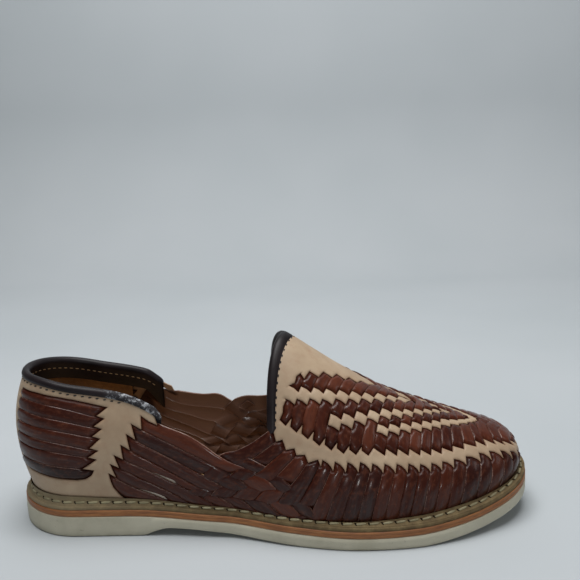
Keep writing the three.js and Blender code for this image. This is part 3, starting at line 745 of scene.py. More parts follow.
def within(p, loops):
    """Even-odd test of points against closed loops."""
    hit = np.zeros(len(p), bool)
    for loop in loops:
        a, b = loop, np.roll(loop, -1, 0)
        for i in range(len(a)):
            if a[i, 1] == b[i, 1]:
                continue
            crosses = (a[i, 1] > p[:, 1]) != (b[i, 1] > p[:, 1])
            x = a[i, 0] + (p[:, 1] - a[i, 1]) / (b[i, 1] - a[i, 1]) * (b[i, 0] - a[i, 0])
            hit ^= crosses & (p[:, 0] < x)
    return hit


def cut_out(loops, cut_from, cut_to):
    """Flat triangles that fill the loops: a row beside the cut, then an even net."""
    beside = []
    for loop in loops:
        d = np.roll(loop, -1, 0) - np.roll(loop, 1, 0)
        n = np.stack([-d[:, 1], d[:, 0]], 1) / np.maximum(np.linalg.norm(d, axis=1), 1e-9)[:, None]
        beside += [loop + n * 0.5, loop - n * 0.5]
    beside = np.concatenate(beside)
    beside = beside[within(beside, loops)]
    beside = beside[to_segments(beside, cut_from, cut_to) > 0.42]
    lo, hi = cut_from.min(0), cut_from.max(0)
    gx, gy = np.meshgrid(np.arange(lo[0], hi[0], FILL_STEP), np.arange(lo[1], hi[1], FILL_STEP * 0.87))
    gx = gx + (np.arange(gx.shape[0]) % 2)[:, None] * FILL_STEP / 2
    net = np.stack([gx.ravel(), gy.ravel()], 1)
    net = net[within(net, loops)]
    net = net[to_segments(net, cut_from, cut_to) > 1.1]
    edges, start = [], 0
    for loop in loops:
        edges += [(start + i, start + (i + 1) % len(loop)) for i in range(len(loop))]
        start += len(loop)
    points = [Vector(p) for p in np.concatenate([cut_from, beside, net])]
    filled = delaunay_2d_cdt(points, edges, [], 0, 1e-5)
    q = np.array([tuple(p) for p in filled[0]])
    tris = np.array([tuple(tri) for tri in filled[2]])
    tris = tris[within(q[tris].mean(1), loops)]
    a, b = q[tris[:, 1]] - q[tris[:, 0]], q[tris[:, 2]] - q[tris[:, 0]]
    area = a[:, 0] * b[:, 1] - a[:, 1] * b[:, 0]
    tris[area < 0] = tris[area < 0][:, ::-1]
    return q, tris[abs(area) > 1e-9]


def plate(outlines, side, on_join):
    """Hide cut to chart outlines, its edges rolled over except where the other half joins on."""
    loops = [resample(outline) for outline in outlines]
    cut_from = np.concatenate(loops)
    cut_to = np.concatenate([np.roll(loop, -1, 0) for loop in loops])
    q, tris = cut_out(loops, cut_from, cut_to)
    shut = ~(on_join(cut_from) & on_join(cut_to))
    far = to_segments(q, cut_from[shut], cut_to[shut])
    top = TAN_TOP - EDGE_ROLL * np.clip(1 - far / 0.9, 0, 1) ** 2
    under = np.full(len(q), TAN_TOP - TAN_THICK)
    joined = on_join(q)
    surfaces = []
    for lift in (top, under):
        points = skin(q[:, 0], q[:, 1], lift, side)
        points[joined] = (skin(q[joined, 0], q[joined, 1], lift[joined], LATERAL)
                          + skin(q[joined, 0], q[joined, 1], lift[joined], MEDIAL)) / 2
        surfaces.append(points)
    n = len(q)
    faces = [tuple(tri) for tri in tris] + [tuple(n + i for i in reversed(tri)) for tri in tris]
    sides = {(int(tri[i]), int(tri[(i + 1) % 3])): None for tri in tris for i in range(3)}
    for i, j in sides:
        if (j, i) not in sides and not (joined[i] and joined[j]):
            faces.append((j, i, n + i, n + j))
    if side == MEDIAL:
        faces = [tuple(reversed(face)) for face in faces]
    return np.concatenate(surfaces), faces, np.concatenate([far, far * 0 - 1])


def weld(verts, faces, tolerance=0.03):
    """Merges points closer than the tolerance and drops faces that collapse."""
    beside = list(itertools.product((0, -1, 1), repeat=3))
    known, keep, index = {}, [], np.zeros(len(verts), int)
    for i, (x, y, z) in enumerate(np.round(np.asarray(verts) / tolerance).astype(int).tolist()):
        near = (known.get((x + dx, y + dy, z + dz)) for dx, dy, dz in beside)
        index[i] = next((found for found in near if found is not None), len(keep))
        if index[i] == len(keep):
            known[(x, y, z)] = len(keep)
            keep.append(i)
    welded = [tuple(dict.fromkeys(int(index[i]) for i in face)) for face in faces]
    return np.asarray(verts)[keep], [face for face in welded if len(face) > 2], np.array(keep)


# Edges between the strips of the fan, along the feather line, and where the tan main band
# lies on each: its lower and upper edge up the wall.
PITCH = 6.55
strip_u = np.array([158 + PITCH * k for k in range(15)] + [257, 265, 275, 283, 292, 300, 309, 318, 322.7])
fan_top = np.array([46, 42, 38, 35, 33, 32, 31.5, 31.5, 31.5, 30.5, 30, 29.5, 29, 28, 27.5, 27, 26.5, 25.5,
                    24, 21.5, 17.5, 13, 9, 7.0])
main_top = np.array([55, 52, 49, 46, 43, 41, 39.5, 39, 38.5, 38.5, 38, 37.5, 37, 36, 35.5, 35, 34.5, 33.5,
                     31.5, 29, 24.5, 19.5, 15, 13.0])
# The three thin bands above it: strip number to (lower, upper) edge.
HIGH_BAND = {1: (63.5, 70.5), 2: (64, 71), 3: (65, 71.5), 4: (65.5, 72), 5: (67, 73), 6: (68.5, 74.5),
             7: (70.5, 76.5), 8: (73, 80), 9: (76, 82), 10: (78, 84), 11: (80.5, 87), 12: (84, 91)}
MIDDLE_BAND = {5: (51.3, 57.3), 6: (52.6, 58.4), 7: (54.8, 60.4), 8: (56.8, 62.4), 9: (59.2, 64.8),
               10: (60.5, 66), 11: (62, 67), 12: (64, 69), 13: (65.5, 70.5), 14: (67, 71.5), 15: (68, 73),
               16: (69, 75)}
LOW_BAND = {9: (48.5, 53), 10: (49, 53.5), 11: (50, 54.5), 12: (50.5, 55.5), 13: (51, 56.5),
            14: (51.5, 57), 15: (52, 58), 16: (51.5, 56.5), 17: (50.5, 55), 18: (49, 53), 19: (46.5, 51),
            20: (44, 49)}
TONGUE = {1: 80, 2: 83, 3: 85, 4: 86, 5: 87, 6: 91, 7: 97}


def below_ridge(points):
    """The points that stay clear of the ridge."""
    return [p for p in points if p[1] < float(wall_length(p[0])) - 0.4]


def stair(table, pick, strips, slant):
    """Toothed edge: over each strip it falls by twice the slant, then jumps back up."""
    line = []
    for k in strips:
        a, b, s = strip_u[k - 1], strip_u[k], table[k][pick]
        line += [(a + 0.12, s + slant), (a + (b - a) * 0.5, s + 0.5), (b - 0.12, s - slant)]
    return line


def ridge_between(u0, u1):
    """Points along the ridge, about three millimetres apart."""
    n = max(2, int(abs(u1 - u0) / 3.0))
    return [(u, float(wall_length(u))) for u in np.linspace(u0, u1, n)]


def toothed_band(table, strips, reach):
    """A band that starts at a blunt end and runs forward until it meets the ridge."""
    low = below_ridge(stair(table, 0, strips, 1.4))
    high = below_ridge(stair(table, 1, strips, 1.5))
    return low + ridge_between(low[-1][0] + reach, high[-1][0] + reach) + high[::-1]


def on_ridge(p):
    """True where a cut lies on the ridge, the toe line or the back seam."""
    return (abs(p[:, 1] - wall_length(p[:, 0])) < 0.12) | (abs(p[:, 0] - TOE_U) < 0.02) | (p[:, 0] < 0.02)


def on_back(p):
    """True where a cut lies on the back seam."""
    return p[:, 0] < 0.02


def vamp_outline(side):
    """Tongue, throat border, main band and high band in one outline."""
    low = [(154.8, 49.2 if side == LATERAL else 50.6), (158.3, 41.7), (161.5, 43.1), (164.4, 38.0),
           (168.7, 39.2), (170.5, 35.8), (174.8, 36.3), (177.2, 32.4), (182.0, 34.3), (184.0, 31.0)]
    for k in range(5, 24):
        a, b, s = strip_u[k - 1], strip_u[k], fan_top[k]
        bite = 1 + 0.75 * min(1, max(0, (k - 16) / 4))
        low += [(a + 0.12, s + 2.3 * bite), (a + (b - a) * 0.45, s + 0.9 * bite),
                (a + (b - a) * 0.8, s - 1.2 * bite), (min(b - 0.12, TOE_U - 0.3), s - 3.0 * bite)]
    toe = [(TOE_U, 6.0), (TOE_U, 12.5)]
    up = []
    for k in range(23, 8, -1):
        a, b, s = strip_u[k - 1], strip_u[k], main_top[k]
        bite = 1 + 0.9 * min(1, max(0, (k - 16) / 3))
        up += [(min(b - 0.12, TOE_U - 0.3), s - 2.0 * bite), (a + (b - a) * 0.5, s + 0.1),
               (a + 0.12, s + 2.2 * bite)]
    for k in range(8, 0, -1):
        a, b, s = strip_u[k - 1], strip_u[k], main_top[k]
        up += [(b - 0.1, s + 2.6), (a + (b - a) * 0.62, s - 1.6), (a + 0.12, s + 1.2)]
    border = [(159.0, 57.0), (158.4, 60.5), (159.0, 64.0)]
    in_reach = [k for k in HIGH_BAND if HIGH_BAND[k][0] + 3 < float(wall_length(strip_u[k]))]
    band = toothed_band(HIGH_BAND, in_reach, 3.0)
    left = [(160.6, 74.0), (160.0, 78.0)]
    tongue = below_ridge([(161.2, 80.6), (164.4, 77.6), (164.7, 83.5), (171.0, 80.8), (171.3, 86.0),
                          (177.5, 83.4), (177.8, 88.2), (184.1, 85.2), (184.4, 89.6), (190.6, 87.0),
                          (190.9, 91.6), (196.0, 90.0)])
    tongue_tip = 199.0
    throat = []
    for n, w in enumerate(np.linspace(1, 0.03, 73)):
        u, s = throat_edge(w, side, 1.7 if n % 2 else 0.9)
        throat.append((float(u), float(s if w < 1 else wall_length(u))))
    ridge = ridge_between(tongue_tip, throat[0][0])
    return low + toe + up + border + band + left + tongue + ridge + throat[1:]


# Vegetable-tanned hide, undyed: pale tan in soft clouds with a dry low shine, a little
# browner at its cut edges, and pores of about a millimetre.
tan_hide, t, shader = material("vegetable-tanned hide, undyed", roughness=0.55, coat=0.06,
                               coat_roughness=0.4, specular=0.4)
tint = add(t, "ShaderNodeValToRGB", {"Fac": mottle(t, 34, 4, 0.6)},
           [(0.3, "#9c856c"), (0.5, "#aa9379"), (0.72, "#b9a388")]).outputs["Color"]
tint = stain(t, tint, "#987258", (mottle(t, 7, 5, 0.65), 0.5, 0.78, 0, 0.45))
edge = add(t, "ShaderNodeAttribute", attribute_name="edge").outputs["Fac"]
tint = stain(t, tint, "#8d6a50", (edge, 0.0, 0.7, 0.65, 0.0))
t.links.new(tint, shader.inputs["Base Color"])
emboss(t, shader, (mottle(t, 0.9), 0.06, 0.6), (mottle(t, 11, 4), 0.35, 0.5))


def join_hide(name, plates):
    """Joins plates of tan hide into one piece, welded where their halves meet."""
    verts, faces, far, base = [], [], [], 0
    for plate_verts, plate_faces, plate_far in plates:
        verts.append(plate_verts)
        far.append(plate_far)
        faces += [tuple(i + base for i in face) for face in plate_faces]
        base += len(plate_verts)
    verts, faces, kept = weld(np.concatenate(verts), faces)
    piece = make_piece(name, verts, faces, tan_hide, 50, {"edge": np.concatenate(far)[kept]})
    finish_piece(piece, "upper")


thin_bands = [toothed_band(MIDDLE_BAND, MIDDLE_BAND, 3.2), toothed_band(LOW_BAND, LOW_BAND, 3.2)]
join_hide("tan_vamp", [plate([outline], side, on_ridge) for side in (LATERAL, MEDIAL)
                       for outline in [vamp_outline(side)] + thin_bands])

# Edges of the strips that cross the counter's window, top to bottom, at five places.
HEEL_AT = [17, 25, 42, 60, 68]
HEEL_LINES = [[62.9, 63.2, 61.6, 57.5, 55.8], [58.0, 58.4, 56.2, 51.2, 49.2], [51.7, 51.8, 49.4, 45.0, 43.6],
              [45.4, 45.3, 43.6, 39.6, 38.4], [39.0, 38.9, 37.0, 32.6, 31.6], [33.1, 33.0, 31.6, 28.0, 27.0],
              [24.8, 24.9, 23.4, 21.0, 20.2], [18.2, 18.0, 15.9, 15.1, 15.4]]


def heel_outline(side):
    """The counter: its outline with teeth toward the waist, and the window for the strips."""
    bottom = [(0.0, 3.2), (20, 3.6), (40, 3.4), (55, 3.0), (66, 2.2), (77.5, 1.5)]
    front = [(74.0, 5.6), (71.4, 10.1), (70.4, 15.0), (70.0, 18.9), (73.6, 16.4), (71.2, 24.4), (75.8, 22.0),
             (73.4, 29.5), (78.2, 26.8), (77.2, 35.0), (82.0, 32.0), (80.1, 40.8), (85.0, 37.7), (82.6, 46.2),
             (88.2, 43.2), (87.6, 50.6), (92.0, 47.6), (96.5, 45.8)]
    peak = front[-1][0]
    grow = topline_s(peak, side)[0] / topline_s(peak, LATERAL)[0]
    front = [(u, s * (1 + (grow - 1) * min(1, max(0, (u - 66) / 30)))) for u, s in front]
    u = np.linspace(peak, 0, 40)
    rim = list(zip(u, topline_s(u, side) - 0.4))
    window = [(16.4, 63.3)]
    for high, low in zip(HEEL_LINES, HEEL_LINES[1:]):
        window += [(15.5, high[0] - 1.0), (14.6, (high[0] + low[0]) / 2),
                   (15.7, low[0] + 1.0), (17.8, low[0] + 0.1)]
    window = window[:-1] + [(17.0, 18.1)]
    window += [(30, 17.0), (42, 15.7), (53, 14.7), (57.5, 15.4), (61, 17.6), (62.6, 20.6), (56.8, 21.6)]
    window += [(64.6, 26.9), (60.2, 28.2), (65.6, 31.9), (61.2, 33.4), (66.6, 38.5), (62.4, 39.8),
               (67.4, 43.7), (63.0, 45.2), (68.4, 49.2), (64.0, 50.8)]
    window += [(69.6, 55.2), (60, 57.5), (50, 59.9), (42, 61.6), (30, 63.2)]
    return [bottom + front + rim[1:], window[::-1]]


join_hide("tan_counter", [plate(heel_outline(side), side, on_back) for side in (LATERAL, MEDIAL)])


class HideMap:
    """Where the tan hide lies on one side of the chart, and how far off it any point is."""
    CELL, REACH = 0.25, 10

    def __init__(self, groups):
        c = self.CELL
        self.shape = (int((TOE_U + 6) / c), int(130 / c))
        us, ss = (np.arange(self.shape[0]) + 0.5) * c, (np.arange(self.shape[1]) + 0.5) * c
        mask = np.zeros(self.shape, bool)
        for loops in groups:
            for k, s in enumerate(ss):
                hits = []
                for loop in loops:
                    a, b = np.array(loop), np.roll(np.array(loop), -1, 0)
                    on = (a[:, 1] > s) != (b[:, 1] > s)
                    hits += list(a[on, 0] + (s - a[on, 1]) / (b[on, 1] - a[on, 1]) * (b[on, 0] - a[on, 0]))
                hits.sort()
                for lo, hi in zip(hits[::2], hits[1::2]):
                    mask[(us > lo) & (us < hi), k] = True
        row = np.where(mask, 0.0, 99.0)
        best = row.copy()
        for k in range(1, self.REACH + 1):
            best[k:] = np.minimum(best[k:], row[:-k] + k)
            best[:-k] = np.minimum(best[:-k], row[k:] + k)
        far = best ** 2
        out = far.copy()
        for k in range(1, self.REACH + 1):
            out[:, k:] = np.minimum(out[:, k:], far[:, :-k] + k * k)
            out[:, :-k] = np.minimum(out[:, :-k], far[:, k:] + k * k)
        self.off = np.minimum(np.sqrt(out), self.REACH) * c

    def __call__(self, u, s):
        a = np.clip(u / self.CELL - 0.5, 0, self.shape[0] - 1.001)
        b = np.clip(s / self.CELL - 0.5, 0, self.shape[1] - 1.001)
        i, j = a.astype(int), b.astype(int)
        fa, fb = a - i, b - j
        return (self.off[i, j] * (1 - fa) * (1 - fb) + self.off[i + 1, j] * fa * (1 - fb)
                + self.off[i, j + 1] * (1 - fa) * fb + self.off[i + 1, j + 1] * fa * fb)


hide_map = {side: HideMap([[vamp_outline(side)]] + [[band] for band in thin_bands] + [heel_outline(side)])
            for side in (LATERAL, MEDIAL)}


def off_hide(u, s, side):
    """Distance from the nearest tan hide; 0 when under it."""
    flip = np.where(u < 0, -1, 1) * np.where(u > TOE_U, -1, 1)
    u = abs(u)
    u = np.where(u > TOE_U, 2 * TOE_U - u, u)
    length = wall_length(u)
    flip = flip * np.where(s > length, -1, 1)
    s = np.where(s > length, 2 * length - s, s)
    return np.where(side * flip < 0, hide_map[LATERAL](u, s), hide_map[MEDIAL](u, s))


# ---------------------------------------------------------------------------
# Strips: bark-dyed cowhide lace cut by hand and polished. Each is a closed ribbon with a
# domed face and pale raw edges, one edge standing a little proud of its neighbour.
# ---------------------------------------------------------------------------
# Section of a ribbon: places across it, from edge to edge, and how far the edge is rounded.
ACROSS = np.array([-1, -0.965, -0.87, -0.62, -0.37, -0.12, 0.12, 0.37, 0.62, 0.87, 0.965, 1.0])
ROUND = np.array([1.0, 0.45, 0.1, 0, 0, 0, 0, 0, 0, 0.1, 0.45, 1.0])
LACE = 1.1
# Lift of a strip's middle off the last: over another, under one, at rest, and where it ends.
OVER, UNDER, REST, SUNK = 0.62, -0.85, 0.4, -1.0
UNDER_HIDE = -0.6
dye = np.random.default_rng(11)


def eased(q):
    """Smooth step from 0 to 1."""
    q = np.clip(q, 0, 1)
    return q * q * (3 - 2 * q)


def curve(points, count):
    """Smooth line through chart points, evenly sampled."""
    p = np.array(points, float)
    if len(p) > 2:
        q = np.concatenate([[2 * p[0] - p[1]], p, [2 * p[-1] - p[-2]]])
        fine = []
        for i in range(1, len(q) - 2):
            for k in np.linspace(0, 1, 12, endpoint=False):
                fine.append(0.5 * (2 * q[i] + (q[i + 1] - q[i - 1]) * k
                                   + (2 * q[i - 1] - 5 * q[i] + 4 * q[i + 1] - q[i + 2]) * k * k
                                   + (3 * q[i] - q[i - 1] - 3 * q[i + 1] + q[i + 2]) * k ** 3))
        p = np.array(fine + [q[-2]])
    d = np.concatenate([[0], np.cumsum(np.linalg.norm(np.diff(p, axis=0), axis=1))])
    at = np.linspace(0, d[-1], count)
    return np.stack([np.interp(at, d, p[:, 0]), np.interp(at, d, p[:, 1])], 1)


class Bundle:
    """Gathers ribbons into one mesh."""

    def __init__(self):
        self.verts, self.faces, self.base = [], [], 0
        self.data = {"tone": [], "edge": [], "along": [], "across": [], "inner": [], "tuck_shade": []}

    def ribbon(self, left, right, lift, side, tone, tilt=0.16, crown=0.3, overlap=0.1, thick=LACE):
        """One strip between two chart lines; it sinks where it goes in under tan hide."""
        n, m = len(left), len(ACROSS)
        share = (ACROSS + 1) / 2
        width = np.linalg.norm(right - left, axis=1)
        grow = (overlap / np.maximum(width, 1.0))[:, None, None]
        mid = (left + right)[:, None] / 2
        grid = left[:, None] * (1 - share)[None, :, None] + right[:, None] * share[None, :, None]
        grid = mid + (grid - mid) * (1 + grow)
        phase = dye.uniform(0, 6.28, 3)
        along = np.linspace(0, 1, n) * np.linalg.norm(np.diff(mid[:, 0], axis=0), axis=1).sum()
        ripple = 0.06 * (np.sin(along / 3.1 + phase[0]) + 0.6 * np.sin(along / 1.7 + phase[1]))[:, None]
        dome = 1 - ACROSS ** 2
        shape = crown * dome - tilt * ACROSS
        high = lift[:, None] + shape[None] + ripple * (0.4 + 0.6 * dome)[None] - 0.42 * ROUND[None]
        clear = eased(off_hide(grid[..., 0], grid[..., 1], side) / 1.9)
        high = np.where(high > UNDER_HIDE, UNDER_HIDE + (high - UNDER_HIDE) * clear, high)
        low = np.minimum(high, lift[:, None] + shape[None] * 0.8) - thick + 0.2 * ROUND[None]
        outer = skin(grid[..., 0], grid[..., 1], high, side)
        inner = skin(grid[..., 0], grid[..., 1], low, side)
        ring = np.concatenate([outer, inner[:, ::-1]], 1).reshape(-1, 3)
        w = 2 * m
        faces = [(i * w + j, i * w + (j + 1) % w, (i + 1) * w + (j + 1) % w, (i + 1) * w + j)
                 for i in range(n - 1) for j in range(w)]
        faces += [tuple(range(w - 1, -1, -1)), tuple((n - 1) * w + j for j in range(w))]
        faces = outward_faces(ring - ring.mean(0), faces)
        self.verts.append(ring)
        self.faces += [tuple(i + self.base for i in face) for face in faces]
        self.base += len(ring)
        rim = abs(ACROSS) ** 14
        # Painted shade: the tuck mark drops by the tan hide's edges and drops further where the strip dives
        # under a crossing strip.
        clear = clear * (0.6 + 0.4 * np.clip((lift[:, None] + 0.6) / 0.8, 0, 1))
        self.data["tone"].append(np.full(n * w, tone))
        self.data["edge"].append(np.tile(np.concatenate([rim, rim[::-1]]), n))
        self.data["inner"].append(np.tile(np.repeat([0.0, 1.0], m), n))
        self.data["along"].append(np.repeat(along, w))
        self.data["across"].append(
            (np.concatenate([ACROSS, ACROSS[::-1]])[None] * width[:, None] / 2).ravel())
        self.data["tuck_shade"].append(np.concatenate([clear, clear[:, ::-1]], 1).ravel())

    def make(self, name, mat):
        """The finished piece, with what each point says to the leather."""
        marks = {key: np.concatenate(values) for key, values in self.data.items()}
        finish_piece(make_piece(name, np.concatenate(self.verts), self.faces, mat, 60, marks), "upper")


def dive(count, length, rest, start, end, start_mm, end_mm):
    """Lift along a ribbon that sinks at both ends."""
    mm = np.linspace(0, length, count)
    q = eased(mm / start_mm)
    lift = start * (1 - q) + rest * q
    q = eased((length - mm) / end_mm)
    return end * (1 - q) + lift * q


def chart_length(a, b):
    """Length of a ribbon along its middle."""
    return float(np.linalg.norm(np.diff((a + b) / 2, axis=0), axis=1).sum())


# Bark-dyed lace, burnished with wax: red-brown, streaked along its length, glossy on top,
# with pale fibres where the cut edges have chipped. Painted shade: it is painted dark and dull
# where it tucks in under tan hide, and darker still where it dives under a crossing strip.
lace, t, shader = material("bark-dyed lace, polished", roughness=0.38, coat=0.28, coat_roughness=0.14,
                           specular=0.36)
mark = {label: add(t, "ShaderNodeAttribute", attribute_name=label).outputs["Fac"]
        for label in ("tone", "edge", "inner", "along", "across", "tuck_shade")}
own = add(t, "ShaderNodeMath", {0: mark["tone"], 1: 97.0}, operation="MULTIPLY").outputs[0]
strip = add(t, "ShaderNodeCombineXYZ", {0: mark["along"], 1: mark["across"], 2: own}).outputs[0]
streak = mottle(t, 1, 4, 0.6, (0.05, 0.7, 1.0), strip)
patches = mottle(t, 1, 4, 0.6, (0.35, 0.45, 1.0), strip)
creases = mottle(t, 1, 3, 0.5, (1.6, 0.5, 1.0), strip)
tint = add(t, "ShaderNodeValToRGB", {"Fac": mark["tone"]},
           [(0.0, "#281411"), (0.3, "#36140b"), (0.7, "#4a2012"), (1.0, "#5e3020")]).outputs["Color"]
tint = stain(t, tint, "#1c0a06", (streak, 0.4, 0.75, 0, 0.5))
tint = stain(t, tint, "#6e3c26", (patches, 0.5, 0.78, 0, 0.5))
chipped = weigh(t, (creases, 0.3, 0.6, 0.35, 1.0), (streak, 0.42, 0.6, 0.3, 1.0))
tint = stain(t, tint, "#94766a", (weigh(t, mark["edge"], chipped), 0.25, 0.8, 0, 0.8))
tint = stain(t, tint, "#77594a", mark["inner"])
# Painted shade where the strip tucks in under tan hide and where it dives under a crossing strip.
tint = stain(t, tint, "#150705", (mark["tuck_shade"], 0.0, 0.95, 0.75, 0.0))
t.links.new(tint, shader.inputs["Base Color"])
t.links.new(weigh(t, (patches, 0.3, 0.7, 0.28, 0.46)), shader.inputs["Roughness"])
t.links.new(weigh(t, (mark["tuck_shade"], 0.6, 1.0, 0.0, 1.0), (streak, 0.42, 0.66, 0.08, 0.5)),
            shader.inputs["Coat Weight"])
t.links.new(weigh(t, (mark["tuck_shade"], 0.4, 1.0, 0.02, 0.16)), shader.inputs["Specular IOR Level"])
emboss(t, shader, (mottle(t, 1, stretch=(1.1, 1.6, 1.0), line=strip), 0.06, 0.5), (creases, 0.12, 0.5))
# Undyed split: the pale fibrous layer under the grain, matt, painted brown toward its underside as painted
# shade in the depth of a slit.
pale_split, t, shader = material("undyed split, pale underlay", roughness=0.8, specular=0.2)
tint = add(t, "ShaderNodeValToRGB", {"Fac": mottle(t, 1.5)},
           [(0.35, "#cbbfb0"), (0.65, "#e2d8cb")]).outputs["Color"]
inner = add(t, "ShaderNodeAttribute", attribute_name="inner").outputs["Fac"]
# Painted shade: brown on the inner face and down the sides.
t.links.new(stain(t, tint, "#4a352a", inner), shader.inputs["Base Color"])

# Edges between the strips that climb from the feather line. The first five lean far back
# and cross the quarter; the fan goes on round the toe with a lean that dies out.
FAN_EDGES = [[(104, -1), (111.6, 8.8), (118.8, 16.4), (125.0, 25.0), (129.0, 30.6), (133, 33.4), (138, 34.8),
              (144.7, 39.2), (150.4, 44.4), (157, 50.5)],
             [(116, -1), (122.8, 6.4), (130.7, 15.3), (136.8, 21.7), (141.4, 26.6), (147.3, 31.2),
              (156.5, 40.0), (160, 43.6)],
             [(128, -1), (134.3, 6.2), (140, 12), (144, 16.9), (150, 23.4), (155.8, 29.2), (164.2, 38.4),
              (167, 41.6)],
             [(141, -1), (146.1, 4.9), (152.2, 12.2), (158.3, 19.6), (161.2, 23.4), (168.4, 33), (173, 38.5)],
             [(154.5, -1), (159.4, 5.4), (164.4, 12.8), (169.8, 20.6), (173.7, 26.6), (179, 36.5)]]
LEAN = dict(u=[158, 184, 191, 197, 204, 210, 230, 260, 290, 309, 323],
            d=[42, 16, 13.5, 11, 8.5, 7, 5.5, 5.2, 5.5, 3.0, 0.5])
for k in range(4, 24):
    u, top = strip_u[k], (fan_top[k] + fan_top[min(k + 1, 23)]) / 2
    lean = float(read(LEAN, "u", "d", u))
    FAN_EDGES.append([(u - lean, -1), (u - lean * 0.62, top * 0.34), (u - lean * 0.24, top * 0.72),
                      (u + 0.3, top + 3.6)])

# Edges between the strips of the quarter, which run down and forward from the counter.
QUARTER_EDGES = [
    [(84, 51.5), (88, 50), (100.9, 45.5), (112.7, 41.6), (121.8, 36.6), (128.5, 32.0), (134.5, 28.9),
     (143.2, 26.2), (151.5, 23.6), (158.3, 20.2), (164.4, 14.4), (171.6, 6.6), (178, -1)],
    [(79, 47.5), (82.9, 45.4), (96.2, 39.4), (107.7, 34.6), (118, 30.2), (126.7, 26.4), (136, 22.2),
     (144, 17.8), (152.2, 12.6), (158.7, 6.9), (166, -1)],
    [(76, 42.5), (80.4, 40), (89.7, 34.9), (103.7, 28.4), (113, 24.4), (121.7, 20.2), (129.9, 15.7),
     (138.2, 10.9), (146.1, 4.9), (152.5, -1)],
    [(73, 36.8), (77.5, 34.2), (87.6, 28.7), (103.2, 20.8), (114.9, 14.9), (124.9, 10.4), (133.9, 5.6),
     (141, -1)],
    [(70, 31), (73.6, 28.8), (89, 21.7), (98.4, 17.6), (105.9, 14.4), (113, 11.0), (122.8, 5.4), (131, -1)],
    [(68, 25.8), (71.4, 23.8), (85.4, 16.6), (97, 11.0), (106, 6.8), (119, -1)],
    [(67, 21), (70.4, 18.3), (76, 14.2), (83.6, 9.8), (97, 4.8), (107, -1)],
    [(68, 14), (71.1, 10.1), (77.5, 3.6), (86, 1.6), (95, 0.2), (99, -1.5)]]
# One more strip starts hidden under the fan and crosses it above the first.
HIDDEN_EDGE = [(138.4, 32.6), (141.7, 32.6), (148.7, 30.7), (154.9, 28.3), (161.3, 25.6), (167.2, 21.4),
               (172.6, 17.7), (177.2, 12.7), (180.6, 7.4), (185, -1)]
quarter_pairs = [(HIDDEN_EDGE, [(134.5, 28.9), (138.5, 27.4)] + QUARTER_EDGES[0][7:])]
quarter_pairs += zip(QUARTER_EDGES, QUARTER_EDGES[1:])
# Lateral slits between two quarter strips: edge number to (from, to, half opening).
SLITS = {4: (92, 106.5, 1.5), 6: (83, 100.5, 1.7)}
LINE_POINTS, QUARTER_POINTS = 90, 70


def fit_topline(points, side):
    """Raises lateral measurements to the other side's cut edge where that edge is higher."""
    out = []
    for u, s in points:
        rate = topline_s(u, side)[0] / topline_s(u, LATERAL)[0] if u < 154 else 1.0
        fade = min(1.0, max(0.0, (158 - u) / 18)) * min(1, max(0, (u - 62) / 8))
        out.append((u, s * (1 + (rate - 1) * fade)))
    return out


def meeting(a, b):
    """Fractions along two lines where they cross, or None."""
    gap = np.linalg.norm(a[:, None] - b[None], axis=2)
    i, j = np.unravel_index(np.argmin(gap), gap.shape)
    return (i / (len(a) - 1), j / (len(b) - 1)) if gap[i, j] < 1.0 else None


def woven_lift(count, marks, length):
    """Rest height, with a short rise or dip at each (fraction, height) crossing; both ends sink."""
    x = np.linspace(0, 1, count)
    lift = dive(count, length, REST, SUNK, SUNK, 3.0, 3.0)
    for at, height in marks:
        lift += (height - REST) * eased(1 - (abs(x - at) * length - 1.6) / 3.0)
    return np.clip(lift, SUNK, OVER + 0.1)


def weave_marks(fan, quarter):
    """Where each fan strip crosses each quarter strip, over and under by turns."""
    fan_marks, quarter_marks = [[] for _ in fan], [[] for _ in quarter]
    for i, a in enumerate(fan):
        for j, b in enumerate(quarter):
            hit = meeting(a, b)
            if hit and b[int(hit[1] * (LINE_POINTS - 1))][1] > 0.5:
                fan_over = (i + j) % 2 == 0
                fan_marks[i].append((hit[0], OVER if fan_over else UNDER))
                quarter_marks[j].append((hit[1], UNDER if fan_over else OVER))
    return fan_marks, quarter_marks


def open_slits(line, key, sign):
    """Draws a quarter strip's edge aside where it is slit."""
    if key in SLITS:
        lo, hi, wide = SLITS[key]
        q = np.clip((line[:, 0] - lo) / (hi - lo), 0, 1)
        line[:, 1] += sign * wide * q ** 0.8 * np.clip((1 - q) / 0.1, 0, 1)


